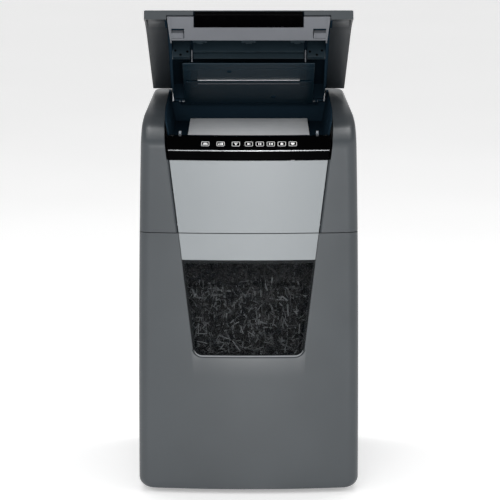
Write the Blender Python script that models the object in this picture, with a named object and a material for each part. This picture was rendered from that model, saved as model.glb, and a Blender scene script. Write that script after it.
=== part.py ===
"""Auto-feed paper shredder: cabinet, hinged lid with pressure plate, pull-out bin, cutters and drive.

Metres, +Z up, front towards -Y.  The origin is on the floor under the middle of the body.
The lid stands open at rest, turned about its hinge by LID_OPEN_ANGLE.
"""
import math

import bmesh
import bpy
from mathutils import Matrix, Vector

for old in list(bpy.data.objects):
    bpy.data.objects.remove(old, do_unlink=True)

# ---------------------------------------------------------------- driving dimensions
GAP = 0.0003                 # between pieces that rest on each other
RUNNING_GAP = 0.0010         # between pieces that move past each other
WALL = 0.003                 # moulded walls

# cabinet
BASE_WIDTH = 0.378
SHOULDER_WIDTH = 0.364
BODY_DEPTH = 0.430
REAR_TAPER = 0.007           # each side draws in by this towards the rear
FRONT_BOW = 0.015            # the middle of the front stands this far forward of its edges
CORNER_RADIUS = 0.018
REAR_RADIUS = 0.012
FOOT_HEIGHT = 0.008
FOOT_RADIUS = 0.014
PAN_LIFT = 0.004             # the base pan lies this far above the skirt's lower edge
PAN_THICKNESS = 0.012
SEAM_HEIGHT = 0.4555         # where the bin front meets the upper housing
SEAM_GAP = 0.0012
SHOULDER_HEIGHT = 0.652
BIN_WRAP = 0.045             # the bin front reaches this far back round the corners

# centre panels of the front
PANEL_HALF_TOP = 0.1345      # half width where silver meets black
PANEL_TAPER = 0.1212         # half width lost for each metre down
PANEL_TOP = 0.5805
STRIP_BOTTOM = 0.4090
WINDOW_BOTTOM = 0.2430
WINDOW_ROUNDING = 0.014
RECESS = 0.0035
RECESS_FLARE = 0.0045
PANEL_THICKNESS = 0.0025
TRIM_HEIGHT = 0.0036
TRIM_BOTTOM = 0.5953
SLOPE_BOTTOM = 0.5994        # the sloped key strip runs from here ...
SLOPE_TOP = 0.6180           # ... to here
SLOPE_SETBACK = 0.0255

# feed chamber
CHAMBER_FLOOR = 0.600
CHAMBER_HALF_FLOOR = 0.132
CHAMBER_HALF_TOP = 0.142
CHAMBER_SETBACK = 0.0525      # from the front of the cabinet to the chamber
CHAMBER_REAR_GAP = 0.018     # from the chamber's rear wall to the hinge
CHAMBER_WALL = 0.0024
LIP_SHORT = 0.0017           # the key strip's lip stops this far short of the chamber's room
SLOT_LENGTH = 0.222
SLOT_WIDTH = 0.007
SLOT_REACH = 0.138           # the feed slot lies this far in front of the lid hinge

# lid
HINGE_SETBACK = 0.045        # from the hinge to the rear of the cabinet
HINGE_Z = 0.650
LID_OPEN_ANGLE = math.radians(30)
LID_SETBACK = 0.040          # from the front of the cabinet to the lid's edge
LID_REAR = 0.010             # the skin starts this far in front of the hinge
LID_TOP = 0.006              # above the hinge axis
LID_SKIN = 0.003
LID_FRONT_WIDTH = 0.357
LID_REAR_WIDTH = 0.345
WING_INNER = 0.1405
INSERT_HALF = 0.0925
PIN_RADIUS = 0.0029
PIN_CLEARANCE = 0.0004
PLATE_HALF = 0.115
PLATE_FRONT = 0.220
PLATE_PIVOT = (0.0245, -0.0285)     # ahead of the hinge, above the hinge
PLATE_THICKNESS = 0.0025
ROD_RADIUS = 0.002

# bin
TUB_HALF = 0.168
TUB_RIM = 0.366
TUB_WALL = 0.0025
TUB_FLOOR = 0.030

# cutters and drive
CHASSIS_DROP = 0.0065        # from the drive gear's tips down to the chassis plate's underside
CUTTER_Z = 0.515
CUTTER_SPACING = 0.050
DISC_RADIUS = 0.027
GROOVE_RADIUS = 0.021
DISC_COUNT = 10
DISC_PITCH = 0.0216
DISC_WIDTH = 0.0092
JOURNAL_RADIUS = 0.008
SIDE_PLATE_X = 0.117
SIDE_PLATE = 0.003
CUTTER_TEETH = 20
IDLER_TEETH = 18
FEED_TEETH = 10
DRIVE_TEETH = 36
PINION_TEETH = 12
GEAR_MODULE = CUTTER_SPACING / CUTTER_TEETH
CHASSIS_Z = CUTTER_Z - GEAR_MODULE * (DRIVE_TEETH / 2 + 1) - CHASSIS_DROP
GEAR_WIDTH = 0.008
GEAR_PLANE = 0.1235          # near face of every gear, either side
FEED_GEAR_GAP = 0.0014       # from the feed gears' tips up to the chamber floor
ROLLER_LIFT = 0.0012         # the rollers stand this far above the chamber floor
ROLLER_WIDTH = 0.028
ROLLER_X = 0.045
FEED_SETBACK = 0.042
FEED_SHAFT_RADIUS = 0.004
MOTOR_RADIUS = 0.029
MOTOR_LENGTH = 0.115

ROLLER_RADIUS = GEAR_MODULE * (FEED_TEETH / 2 + 1) + FEED_GEAR_GAP + CHAMBER_WALL + ROLLER_LIFT
FRONT_Y = -BODY_DEPTH / 2
REAR_Y = BODY_DEPTH / 2
HINGE_Y = REAR_Y - HINGE_SETBACK
LID_LENGTH = HINGE_Y - FRONT_Y - LID_SETBACK
CHAMBER_FRONT = FRONT_Y + CHAMBER_SETBACK
CHAMBER_REAR = HINGE_Y - CHAMBER_REAR_GAP
CUTTER_Y = HINGE_Y - SLOT_REACH


# ---------------------------------------------------------------- materials and meshes
def material(name, colour, roughness, metallic=0.0):
    mat = bpy.data.materials.new(name)
    mat.use_nodes = True
    shader = mat.node_tree.nodes["Principled BSDF"]
    shader.inputs["Base Color"].default_value = (*colour, 1)
    shader.inputs["Roughness"].default_value = roughness
    shader.inputs["Metallic"].default_value = metallic
    mat.diffuse_color = (*colour, 1)
    return mat


BODY = material("body_plastic", (0.095, 0.100, 0.110), 0.5)
DARK = material("dark_plastic", (0.020, 0.024, 0.030), 0.55)
LIGHT = material("grey_plastic", (0.16, 0.165, 0.175), 0.5)
GLOSS = material("gloss_black", (0.004, 0.004, 0.005), 0.08)
SILVER = material("silver_paint", (0.42, 0.43, 0.44), 0.35)
BRIGHT = material("bright_metal", (0.8, 0.8, 0.8), 0.2, 1.0)
STEEL = material("steel", (0.55, 0.55, 0.56), 0.35, 1.0)
ZINC = material("zinc_plate", (0.45, 0.46, 0.48), 0.5, 1.0)
RUBBER = material("rubber", (0.02, 0.02, 0.02), 0.9)
NYLON = material("white_nylon", (0.75, 0.74, 0.70), 0.5)
SMOKE = material("smoked_window", (0.03, 0.03, 0.03), 0.1)
BOARD = material("circuit_board", (0.02, 0.12, 0.05), 0.5)


def finish(name, mesh, mat, parent=None, smooth=False):
    """Make the object; the mesh is in world places, or in the parent's closed place."""
    mesh.materials.append(mat)
    obj = bpy.data.objects.new(name, mesh)
    bpy.context.scene.collection.objects.link(obj)
    if parent:
        obj.parent = parent
        mesh.transform(Matrix.Translation(-Vector(parent["closed_place"])))
    if smooth:
        mesh.shade_smooth()
        mesh.set_sharp_from_angle(angle=math.radians(35))
    return obj


def mesh_from(bm):
    bmesh.ops.recalc_face_normals(bm, faces=bm.faces)
    mesh = bpy.data.meshes.new("mesh")
    bm.to_mesh(mesh)
    bm.free()
    return mesh


def loft(rings):
    """A closed solid through rings that have the same number of points."""
    bm = bmesh.new()
    rows = [[bm.verts.new(p) for p in ring] for ring in rings]
    count = len(rows[0])
    for low, high in zip(rows, rows[1:]):
        for i in range(count):
            j = (i + 1) % count
            bm.faces.new((low[i], low[j], high[j], high[i]))
    bm.faces.new(list(reversed(rows[0])))
    bm.faces.new(rows[-1])
    return mesh_from(bm)


def prism(points, axis, low, high):
    """Extrude a flat outline along X, Y or Z.  Points are (y, z), (x, z) or (x, y)."""
    place = {
        "X": lambda p, t: (t, p[0], p[1]),
        "Y": lambda p, t: (p[0], t, p[1]),
        "Z": lambda p, t: (p[0], p[1], t),
    }[axis]
    return loft([[place(p, t) for p in points] for t in (low, high)])


def block(low, high):
    outline = [(low[0], low[1]), (high[0], low[1]), (high[0], high[1]), (low[0], high[1])]
    return prism(outline, "Z", low[2], high[2])


def circle(radius, centre=(0, 0), sides=20, start=0.0):
    return [
        (centre[0] + radius * math.cos(start + 2 * math.pi * i / sides),
         centre[1] + radius * math.sin(start + 2 * math.pi * i / sides))
        for i in range(sides)
    ]


def turned(profile, centre, sides=20):
    """Turn (x, radius) points about an X axis through centre = (y, z); both ends are closed."""
    return loft([[(x, *p) for p in circle(radius, centre, sides)] for x, radius in profile])


def mirrored(mesh):
    """The same mesh on the other side of the middle plane."""
    copy = mesh.copy()
    copy.transform(Matrix.Scale(-1, 4, Vector((1, 0, 0))))
    copy.flip_normals()
    return copy


def combine(obj, meshes, operation):
    """Add or take away each mesh with a Boolean modifier of its own."""
    for mesh in meshes:
        number = len(obj.modifiers)
        tool = finish(f"{obj.name}_tool_{number}", mesh, DARK)
        tool.parent = obj.parent
        if obj.parent:
            tool.data.transform(Matrix.Translation(-Vector(obj.parent["closed_place"])))
        tool.hide_render = True
        tool.display_type = "WIRE"
        modifier = obj.modifiers.new(f"{operation.lower()}_{number}", "BOOLEAN")
        modifier.operation = operation
        modifier.solver = "EXACT"
        modifier.object = tool


def cut(obj, *meshes):
    combine(obj, meshes, "DIFFERENCE")


def join(obj, *meshes):
    combine(obj, meshes, "UNION")


def joint_empty(name, place, angle=0.0, parent=None):
    """An empty on a joint's axis.  Its children are modelled as if the joint were closed."""
    empty = bpy.data.objects.new(name, None)
    bpy.context.scene.collection.objects.link(empty)
    empty["closed_place"] = place
    empty.location = place
    empty.rotation_euler.x = angle
    if parent:
        empty.parent = parent
        empty.location = Vector(place) - Vector(parent["closed_place"])
    return empty


# ---------------------------------------------------------------- shape of the cabinet
def half_width(z):
    """Half the cabinet's width at its widest, at a height."""
    share = max(z, 0.0) / SHOULDER_HEIGHT
    return (BASE_WIDTH - (BASE_WIDTH - SHOULDER_WIDTH) * share ** 2.5) / 2


def side_x(y, z):
    """Half width at a place along the depth: the sides draw in towards the rear."""
    share = (y - FRONT_Y - FRONT_BOW - CORNER_RADIUS) / BODY_DEPTH
    return half_width(z) - REAR_TAPER * share


def bow(x):
    """How far the front lies behind its middle."""
    return FRONT_BOW * (2 * x / BASE_WIDTH) ** 2


def corner(centre, radius, start, steps):
    """A quarter of a circle, anticlockwise from the start angle."""
    angles = [start + math.pi / 2 * i / steps for i in range(steps + 1)]
    return [(centre[0] + radius * math.cos(a), centre[1] + radius * math.sin(a)) for a in angles]


def front_half(z, front=FRONT_Y, inset=0.0, wrap=None):
    """The right half of the front outline, from the middle to the side, (x, y)."""
    radius = CORNER_RADIUS - inset
    edge = half_width(z) - CORNER_RADIUS
    points = [(edge * i / 6, front + bow(edge * i / 6) + inset) for i in range(6)]
    centre = (edge, front + bow(edge) + CORNER_RADIUS)
    points += corner(centre, radius, -math.pi / 2, 4)
    if wrap is not None:
        points.append((side_x(wrap, z) - inset, wrap))
    return points


def rear_half(z, rear=REAR_Y, inset=0.0, wrap=None):
    """The right half of the rear outline, from the side to the middle."""
    edge = side_x(rear, z) - REAR_RADIUS
    points = [] if wrap is None else [(side_x(wrap, z) - inset, wrap)]
    points += corner((edge, rear - REAR_RADIUS), REAR_RADIUS - inset, 0.0, 3)
    points.append((0.0, rear - inset))
    return points


def both_halves(half, closed):
    """Add the left half to a right half that starts (or starts and ends) in the middle."""
    left = [(-x, y) for x, y in reversed(half)]
    return half + left[1:-1] if closed else left + half[1:]


def at_height(points, z, scale=1.0):
    return [(x * scale, y, z) for x, y in points]


def bowed_block(levels, segments=8):
    """A solid whose front and back follow the bow of the cabinet's front.

    Each level is (z, half width, front setback, back setback, flare of the front).
    """
    rings = []
    for z, half, front, back, flare in levels:
        steps = [-1 + 2 * i / segments for i in range(segments + 1)]
        near = [((half + flare) * s, FRONT_Y + bow((half + flare) * s) + front, z) for s in steps]
        far = [(half * s, FRONT_Y + bow(half * s) + back, z) for s in reversed(steps)]
        rings.append(near + far)
    return loft(rings)


def panel_half(z):
    """Half width of the centre panels at a height."""
    return PANEL_HALF_TOP - PANEL_TAPER * (PANEL_TOP - z)


def bottom_rounding(z):
    """The corners at the foot of the cabinet are rounded in the front view."""
    height = z - FOOT_HEIGHT
    if height >= CORNER_RADIUS:
        return 1.0
    drop = CORNER_RADIUS - math.sqrt(CORNER_RADIUS ** 2 - (CORNER_RADIUS - height) ** 2)
    return 1 - drop / half_width(z)


LOWER_LEVELS = [FOOT_HEIGHT + h for h in (0.0008, 0.003, 0.007, 0.012, CORNER_RADIUS)]
LOWER_LEVELS += [0.200, SEAM_HEIGHT - SEAM_GAP / 2]
SHOULDER_PROFILE = [          # height, behind the front, drawn in at the sides and rear
    (0.600, 0.0, 0.0),
    (0.611, 0.0045, 0.0),
    (0.631, 0.0285, 0.0004),
    (0.6365, 0.0410, 0.0010),
    (0.645, 0.0700, 0.0030),
    (0.650, 0.1050, 0.0062),
    (SHOULDER_HEIGHT, 0.1550, 0.0105),
]
SHOULDER_PROFILE = [(z, FRONT_Y + behind, drawn) for z, behind, drawn in SHOULDER_PROFILE]


def shoulder_top(y):
    """Height of the shoulder's upper surface at a depth."""
    if y >= SHOULDER_PROFILE[-1][1]:
        return SHOULDER_HEIGHT
    for low, high in zip(SHOULDER_PROFILE, SHOULDER_PROFILE[1:]):
        if y <= high[1]:
            share = (y - low[1]) / (high[1] - low[1])
            return low[0] + share * (high[0] - low[0])
    return SHOULDER_HEIGHT


# ---------------------------------------------------------------- lower cabinet
SIDE_FRONT = FRONT_Y + FRONT_BOW + BIN_WRAP
REAR_WRAP = REAR_Y - 0.030


def ribbon(path_at, thickness_at):
    """A wall that follows an open outline at each height."""
    rings = []
    for z in LOWER_LEVELS:
        scale = bottom_rounding(z)
        outer = path_at(z, 0.0)
        inner = path_at(z, thickness_at)
        rings.append(at_height(outer + list(reversed(inner)), z, scale))
    return loft(rings)


def make_lower_cabinet():
    for side, name in ((1, "right"), (-1, "left")):
        def side_path(z, inset):
            ends = (SIDE_FRONT + RUNNING_GAP, REAR_WRAP - GAP)
            return [(side_x(y, z) - inset, y) for y in ends]
        panel = ribbon(side_path, WALL)
        finish(f"side_panel_{name}", panel if side > 0 else mirrored(panel), BODY)

    def rear_path(z, inset):
        return both_halves(list(reversed(rear_half(z, inset=inset, wrap=REAR_WRAP))), False)
    rear = finish("rear_panel", ribbon(rear_path, WALL), BODY)
    vents = []
    for row in range(5):
        low = 0.400 - 0.014 * row
        vents.append(block((-0.060, REAR_Y - 0.010, low), (0.060, REAR_Y + 0.010, low + 0.005)))
    cut(rear, *vents)

    pan_low, pan_high = FOOT_HEIGHT + PAN_LIFT, FOOT_HEIGHT + PAN_LIFT + PAN_THICKNESS
    pan_half = (side_x(REAR_Y, pan_low) - REAR_RADIUS) * bottom_rounding(pan_low)
    pan = block((-pan_half, SIDE_FRONT, pan_low), (pan_half, REAR_Y - WALL - GAP * 2, pan_high))
    finish("base_pan", pan, DARK)
    foot_front, foot_rear = FRONT_Y + 0.085, REAR_Y - 0.035
    for number, (sx, y) in enumerate(((1, foot_front), (-1, foot_front), (1, foot_rear), (-1, foot_rear)), 1):
        disc = prism(circle(FOOT_RADIUS, (sx * (BASE_WIDTH / 2 - 0.039), y), 16), "Z", 0.0, pan_low - GAP)
        finish(f"foot_{number}", disc, RUBBER, smooth=True)

    for side, name in ((1, "right"), (-1, "left")):
        outer = side_x(REAR_WRAP, SEAM_HEIGHT) - WALL - 0.0015
        inner = TUB_HALF + RUNNING_GAP
        rail = [(outer, 0.0490), (inner, 0.0490), (inner, 0.0520), (outer, 0.0520)]
        if side < 0:
            rail = [(-x, z) for x, z in reversed(rail)]
        finish(f"bin_rail_{name}", prism(rail, "Y", SIDE_FRONT + 0.006, REAR_WRAP - 0.004), ZINC)


# ---------------------------------------------------------------- bin
def make_bin():
    def front_path(z, inset):
        return both_halves(front_half(z, inset=inset, wrap=SIDE_FRONT), False)
    front = finish("bin_front", ribbon(front_path, WALL + RECESS), BODY)
    strip_top = SEAM_HEIGHT - SEAM_GAP / 2
    recess_levels = [
        (z, panel_half(z) + GAP * 2, 0 if z > WINDOW_BOTTOM else RECESS - 0.001, RECESS, RECESS_FLARE)
        for z in (WINDOW_BOTTOM - 0.003, WINDOW_BOTTOM + 0.001, STRIP_BOTTOM, SEAM_HEIGHT + 0.01)
    ]
    recess = [(z, half, near - 0.004, far, flare) for z, half, near, far, flare in recess_levels]
    window_levels = [(WINDOW_BOTTOM + drop, panel_half(WINDOW_BOTTOM + drop) - WINDOW_ROUNDING * share,
                      -0.002, 0.030, 0.0)
                     for drop, share in ((0.004, 0.95), (0.0075, 0.55), (0.012, 0.30), (0.020, 0.22))]
    window_levels.append((STRIP_BOTTOM - 0.006, panel_half(STRIP_BOTTOM) - 0.0035, -0.002, 0.030, 0.0))
    cut(front, bowed_block(recess), bowed_block(window_levels))

    strip_levels = [(z, panel_half(z) - GAP, RECESS - PANEL_THICKNESS, RECESS - GAP, 0)
                    for z in (STRIP_BOTTOM + GAP, strip_top)]
    finish("bin_silver_strip", bowed_block(strip_levels), SILVER)
    pane = [(WINDOW_BOTTOM - 0.002 + GAP, 0.9), (WINDOW_BOTTOM + 0.004, 0.25), (WINDOW_BOTTOM + 0.012, 0.0),
            (STRIP_BOTTOM - GAP, 0.0)]
    pane_levels = [(z, panel_half(z) - GAP - WINDOW_ROUNDING * share, RECESS - PANEL_THICKNESS + 0.0006,
                    RECESS - GAP, 0) for z, share in pane]
    finish("bin_window", bowed_block(pane_levels), SMOKE)

    tub_front = FRONT_Y + FRONT_BOW + 0.012
    tub_rear = REAR_Y - 0.016
    tub = finish("bin_tub", block((-TUB_HALF, tub_front, TUB_FLOOR), (TUB_HALF, tub_rear, TUB_RIM)), DARK)
    hollow = block((-TUB_HALF + TUB_WALL, tub_front + TUB_WALL, TUB_FLOOR + TUB_WALL),
                   (TUB_HALF - TUB_WALL, tub_rear - TUB_WALL, TUB_RIM + 0.01))
    window_half = panel_half(WINDOW_BOTTOM) - 0.004
    view = block((-window_half, tub_front - 0.01, WINDOW_BOTTOM - 0.010),
                 (window_half, tub_front + 0.01, TUB_RIM - 0.008))
    grip = block((-TUB_HALF - 0.01, -0.055, TUB_RIM - 0.045), (TUB_HALF + 0.01, 0.055, TUB_RIM - 0.018))
    additions = []
    for sx in (1, -1):
        # the runner under the rail keeps the bin from tipping as it is drawn out
        low, high = sorted((sx * (TUB_HALF - 0.001), sx * (TUB_HALF + 0.0060)))
        additions.append(block((low, tub_front + 0.030, 0.0530), (high, tub_rear - 0.010, 0.0570)))
        low, high = sorted((sx * (TUB_HALF - 0.030), sx * (TUB_HALF - 0.005)))
        additions.append(block((low, FRONT_Y + bow(TUB_HALF) + WALL + RECESS + GAP * 3, 0.200),
                               (high, tub_front + 0.001, 0.330)))
    join(tub, *additions)
    cut(tub, hollow, view, grip)


# ---------------------------------------------------------------- upper housing
def housing_rings(inset, lift):
    """Outline of the upper housing at each height; lift lowers the shoulders of the hollow."""
    rings = []
    start = SEAM_HEIGHT + SEAM_GAP / 2 - (0.01 if inset else 0.0)
    for z, front, drawn in [(start, FRONT_Y, 0.0), (0.530, FRONT_Y, 0.0)] + SHOULDER_PROFILE:
        half = front_half(z, front=front, inset=inset)[:-1]
        rear_points = rear_half(z, inset=inset)
        side = half_width(z) - CORNER_RADIUS
        half += [(side + CORNER_RADIUS - inset, front + bow(side) + CORNER_RADIUS)]
        loop = both_halves(half + rear_points, True)
        width_share = 1 - drawn / half_width(z)
        depth_share = 1 - drawn / BODY_DEPTH
        height = z - (lift if z > 0.55 else 0.0)
        rings.append([(x * width_share, front + (y - front) * depth_share, height) for x, y in loop])
    return rings


def chamber_half(z):
    share = (z - CHAMBER_FLOOR) / (SHOULDER_HEIGHT - CHAMBER_FLOOR)
    return CHAMBER_HALF_FLOOR + (CHAMBER_HALF_TOP - CHAMBER_HALF_FLOOR) * share


def well(grow, low, high, front, rear):
    """A block with the chamber's sloping sides."""
    section = [(-chamber_half(low) - grow, low), (chamber_half(low) + grow, low),
               (chamber_half(high) + grow, high), (-chamber_half(high) - grow, high)]
    return prism(section, "Y", front, rear)


DECK_STEP = 0.634            # the sunk deck behind the chamber, where the hinge sits
DECK_REAR = REAR_Y - 0.023
INLET_X, INLET_Z = -0.105, 0.500
MODULE_HALF = (0.0215, 0.0108)       # inlet and switch share one module
SOCKET_X = INLET_X - 0.0075
SWITCH_X = INLET_X + 0.0130
ROCKER_TILT = math.radians(8)
FAN_X, FAN_Z, FAN_RADIUS = 0.095, 0.520, 0.027


def make_upper_housing():
    housing = finish("upper_housing", loft(housing_rings(0.0, 0.0)), BODY)
    hollow = loft(housing_rings(WALL, WALL))
    opening = well(CHAMBER_WALL + GAP, CHAMBER_FLOOR - 0.004, SHOULDER_HEIGHT + 0.010,
                   CHAMBER_FRONT + 0.0075, DECK_REAR)
    notch_levels = [(z, panel_half(z) + GAP * 2, -0.010, 0.075, RECESS_FLARE) for z in (PANEL_TOP, 0.670)]
    recess_levels = [(z, panel_half(z) + GAP * 2, -0.004, RECESS, RECESS_FLARE + 0.0035)
                     for z in (SEAM_HEIGHT - 0.02, PANEL_TOP + 0.0002)]
    inlet = block((INLET_X - MODULE_HALF[0] - GAP, REAR_Y - 0.02, INLET_Z - MODULE_HALF[1] - GAP),
                  (INLET_X + MODULE_HALF[0] + GAP, REAR_Y + 0.02, INLET_Z + MODULE_HALF[1] + GAP))
    grille = prism(circle(FAN_RADIUS, (FAN_X, FAN_Z), 16), "Y", REAR_Y - 0.02, REAR_Y + 0.02)
    cut(housing, hollow, opening, bowed_block(notch_levels), bowed_block(recess_levels), inlet, grille)

    silver = [(z, panel_half(z) - GAP, RECESS - PANEL_THICKNESS, RECESS - GAP, 0)
              for z in (SEAM_HEIGHT + SEAM_GAP / 2, PANEL_TOP - GAP)]
    finish("silver_panel", bowed_block(silver), SILVER)

    black = [
        (PANEL_TOP + GAP, 0.0012, 0.0045),
        (TRIM_BOTTOM - GAP, 0.0012, 0.0045),
        (TRIM_BOTTOM - GAP / 2, 0.0040, 0.0070),
        (TRIM_BOTTOM + TRIM_HEIGHT, 0.0040, 0.0070),
        (SLOPE_BOTTOM, 0.0018, 0.0075),
        (SLOPE_TOP - 0.003, SLOPE_SETBACK - 0.0035, SLOPE_SETBACK + 0.002),
        (SLOPE_TOP, SLOPE_SETBACK, CHAMBER_SETBACK - bow(CHAMBER_HALF_FLOOR) - LIP_SHORT),
    ]
    finish("control_panel", bowed_block([(z, panel_half(z), near, far, 0) for z, near, far in black]), GLOSS)
    trim = [(z, panel_half(z), 0.0004, 0.0040 - GAP, 0)
            for z in (TRIM_BOTTOM + GAP, TRIM_BOTTOM + TRIM_HEIGHT - GAP)]
    finish("trim_strip", bowed_block(trim), BRIGHT)

    tray = finish("feed_chamber", well(CHAMBER_WALL, CHAMBER_FLOOR - CHAMBER_WALL, SHOULDER_HEIGHT - 0.001,
                                       CHAMBER_FRONT - CHAMBER_WALL, DECK_REAR - 0.001), DARK)
    room = well(0.0, CHAMBER_FLOOR, SHOULDER_HEIGHT + 0.01, CHAMBER_FRONT, CHAMBER_REAR)
    deck = well(0.0, DECK_STEP, SHOULDER_HEIGHT + 0.01, CHAMBER_REAR - 0.01, DECK_REAR + 0.01)
    below = well(0.0, CHAMBER_FLOOR - 0.02, DECK_STEP - CHAMBER_WALL, CHAMBER_REAR + CHAMBER_WALL,
                 DECK_REAR + 0.01)
    low_front = well(0.02, SLOPE_TOP - 0.0045, SHOULDER_HEIGHT + 0.01, CHAMBER_FRONT - 0.02, CHAMBER_FRONT)
    slot = block((-SLOT_LENGTH / 2, CUTTER_Y - SLOT_WIDTH, CHAMBER_FLOOR - 0.02),
                 (SLOT_LENGTH / 2, CUTTER_Y + SLOT_WIDTH, CHAMBER_FLOOR + 0.02))
    windows = []
    reach = math.sqrt(ROLLER_RADIUS ** 2 - (CHAMBER_FLOOR - CHAMBER_WALL - FEED_Z) ** 2) + RUNNING_GAP
    for y in FEED_Y:
        for sx in (-1, 1):
            half = ROLLER_WIDTH / 2 + RUNNING_GAP
            windows.append(block((sx * ROLLER_X - half, y - reach, CHAMBER_FLOOR - 0.02),
                                 (sx * ROLLER_X + half, y + reach, CHAMBER_FLOOR + 0.02)))
    ys = [-0.230] + [y for z, y, drawn in SHOULDER_PROFILE if z > SLOPE_TOP] + [0.230]
    rim = [(y, shoulder_top(y) - RUNNING_GAP) for y in ys] + [(0.230, 0.680), (-0.230, 0.680)]
    cut(tray, room, deck, below, low_front, slot, prism(rim, "X", -0.160, 0.160), *windows)

    for sx, name in ((1, "right"), (-1, "left")):
        keeper = block((0.1150, CHAMBER_FRONT + GAP, CHAMBER_FLOOR + GAP), (0.1190, CHAMBER_FRONT + 0.006, 0.6240))
        finish(f"latch_keeper_{name}", keeper if sx > 0 else mirrored(keeper), STEEL)
        bracket = block((0.1350, HINGE_Y - 0.007, DECK_STEP + GAP), (0.1378, HINGE_Y + 0.010, HINGE_Z + 0.005))
        piece = finish(f"hinge_bracket_{name}", bracket if sx > 0 else mirrored(bracket), ZINC)
        pin = turned([(0.1240, PIN_RADIUS), (0.1360, PIN_RADIUS)], (HINGE_Y, HINGE_Z), 12)
        join(piece, pin if sx > 0 else mirrored(pin))


def make_rear_fittings():
    wall = REAR_Y - WALL
    module = finish("inlet_socket", block((INLET_X - MODULE_HALF[0], wall - 0.020, INLET_Z - MODULE_HALF[1]),
                                          (INLET_X + MODULE_HALF[0], REAR_Y - GAP, INLET_Z + MODULE_HALF[1])), DARK)
    cut(module,
        block((SOCKET_X - 0.0118, wall - 0.014, INLET_Z - 0.0086), (SOCKET_X + 0.0118, REAR_Y + 0.01, INLET_Z + 0.0086)),
        block((SWITCH_X - 0.0056, wall - 0.012, INLET_Z - 0.0094), (SWITCH_X + 0.0056, REAR_Y + 0.01, INLET_Z + 0.0094)))
    axis_y = wall - 0.003
    rocker_at = joint_empty("rocker_axis", (SWITCH_X, axis_y, INLET_Z), -ROCKER_TILT)
    outline = [(axis_y - 0.0030, INLET_Z - 0.0040), (axis_y - 0.0030, INLET_Z + 0.0040),
               (axis_y + 0.0040, INLET_Z + 0.0080), (axis_y + 0.0020, INLET_Z),
               (axis_y + 0.0040, INLET_Z - 0.0080)]
    rocker = prism(outline, "X", SWITCH_X - 0.0050, SWITCH_X + 0.0050)
    finish("power_rocker", rocker, GLOSS, parent=rocker_at)

    frame_half = FAN_RADIUS + 0.003
    frame = finish("fan_frame", block((FAN_X - frame_half, wall - 0.0183, FAN_Z - frame_half),
                                      (FAN_X + frame_half, wall - GAP, FAN_Z + frame_half)), DARK)
    cut(frame, prism(circle(FAN_RADIUS - 0.001, (FAN_X, FAN_Z), 20), "Y", wall - 0.03, wall + 0.01))
    blades = []
    for blade in range(7):
        centre = 2 * math.pi * blade / 7
        for radius, offset in ((0.011, -0.32), (FAN_RADIUS - 0.003, -0.10), (FAN_RADIUS - 0.003, 0.06), (0.011, 0.20)):
            blades.append((FAN_X + radius * math.cos(centre + offset), FAN_Z + radius * math.sin(centre + offset)))
    fan_at = joint_empty("fan_axis", (FAN_X, wall - 0.0095, FAN_Z))
    finish("fan_rotor", prism(blades, "Y", wall - 0.0150, wall - 0.0040), DARK, parent=fan_at)


# ---------------------------------------------------------------- cutters, drive and feed
SHAFT_Y = {"front": CUTTER_Y - CUTTER_SPACING / 2, "rear": CUTTER_Y + CUTTER_SPACING / 2}
FEED_Y = (SHAFT_Y["front"] - FEED_SETBACK, SHAFT_Y["rear"] + FEED_SETBACK)
FEED_Z = CHAMBER_FLOOR + ROLLER_LIFT - ROLLER_RADIUS
MOTOR_Y = SHAFT_Y["rear"] + GEAR_MODULE * (DRIVE_TEETH + PINION_TEETH) / 2


def pitch_radius(teeth):
    return GEAR_MODULE * teeth / 2


def gear_outline(teeth, centre, tooth_angle):
    """Straight-sided teeth with free running room, one tooth centred on tooth_angle."""
    radius = pitch_radius(teeth)
    tip, root = radius + 0.8 * GEAR_MODULE, radius - 1.15 * GEAR_MODULE
    points = []
    for tooth in range(teeth):
        middle = tooth_angle + 2 * math.pi * tooth / teeth
        for r, half in ((root, 0.00185), (tip, 0.00075), (tip, -0.00075), (root, -0.00185)):
            angle = middle - half / r
            points.append((centre[0] + r * math.cos(angle), centre[1] + r * math.sin(angle)))
    return points


def meshing_angle(centre_a, teeth_a, angle_a, centre_b, teeth_b):
    """The tooth angle that lets gear b mesh with gear a."""
    line = math.atan2(centre_b[1] - centre_a[1], centre_b[0] - centre_a[0])
    place = (line - angle_a) * teeth_a / (2 * math.pi)
    return line + math.pi + (2 * math.pi / teeth_b) * (place + 0.5)


def gear(name, teeth, centre, tooth_angle, side, bore, parent):
    low = GEAR_PLANE if side > 0 else -GEAR_PLANE - GEAR_WIDTH
    wheel = prism(gear_outline(teeth, centre, tooth_angle), "X", low, low + GEAR_WIDTH)
    obj = finish(name, wheel, NYLON, parent=parent)
    cut(obj, turned([(low - 0.01, bore), (low + GEAR_WIDTH + 0.01, bore)], centre, 16))


def idler_centre(cutter, feed):
    """Where the idler meshes with both the cutter gear and the feed gear, on the outer side."""
    a = pitch_radius(CUTTER_TEETH) + pitch_radius(IDLER_TEETH)
    b = pitch_radius(FEED_TEETH) + pitch_radius(IDLER_TEETH)
    dy, dz = feed[0] - cutter[0], feed[1] - cutter[1]
    distance = math.hypot(dy, dz)
    along = (a * a - b * b + distance * distance) / (2 * distance)
    out = math.sqrt(a * a - along * along)
    turn = 1 if dy < 0 else -1
    return (cutter[0] + (along * dy - turn * out * dz) / distance,
            cutter[1] + (along * dz + turn * out * dy) / distance)


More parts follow.
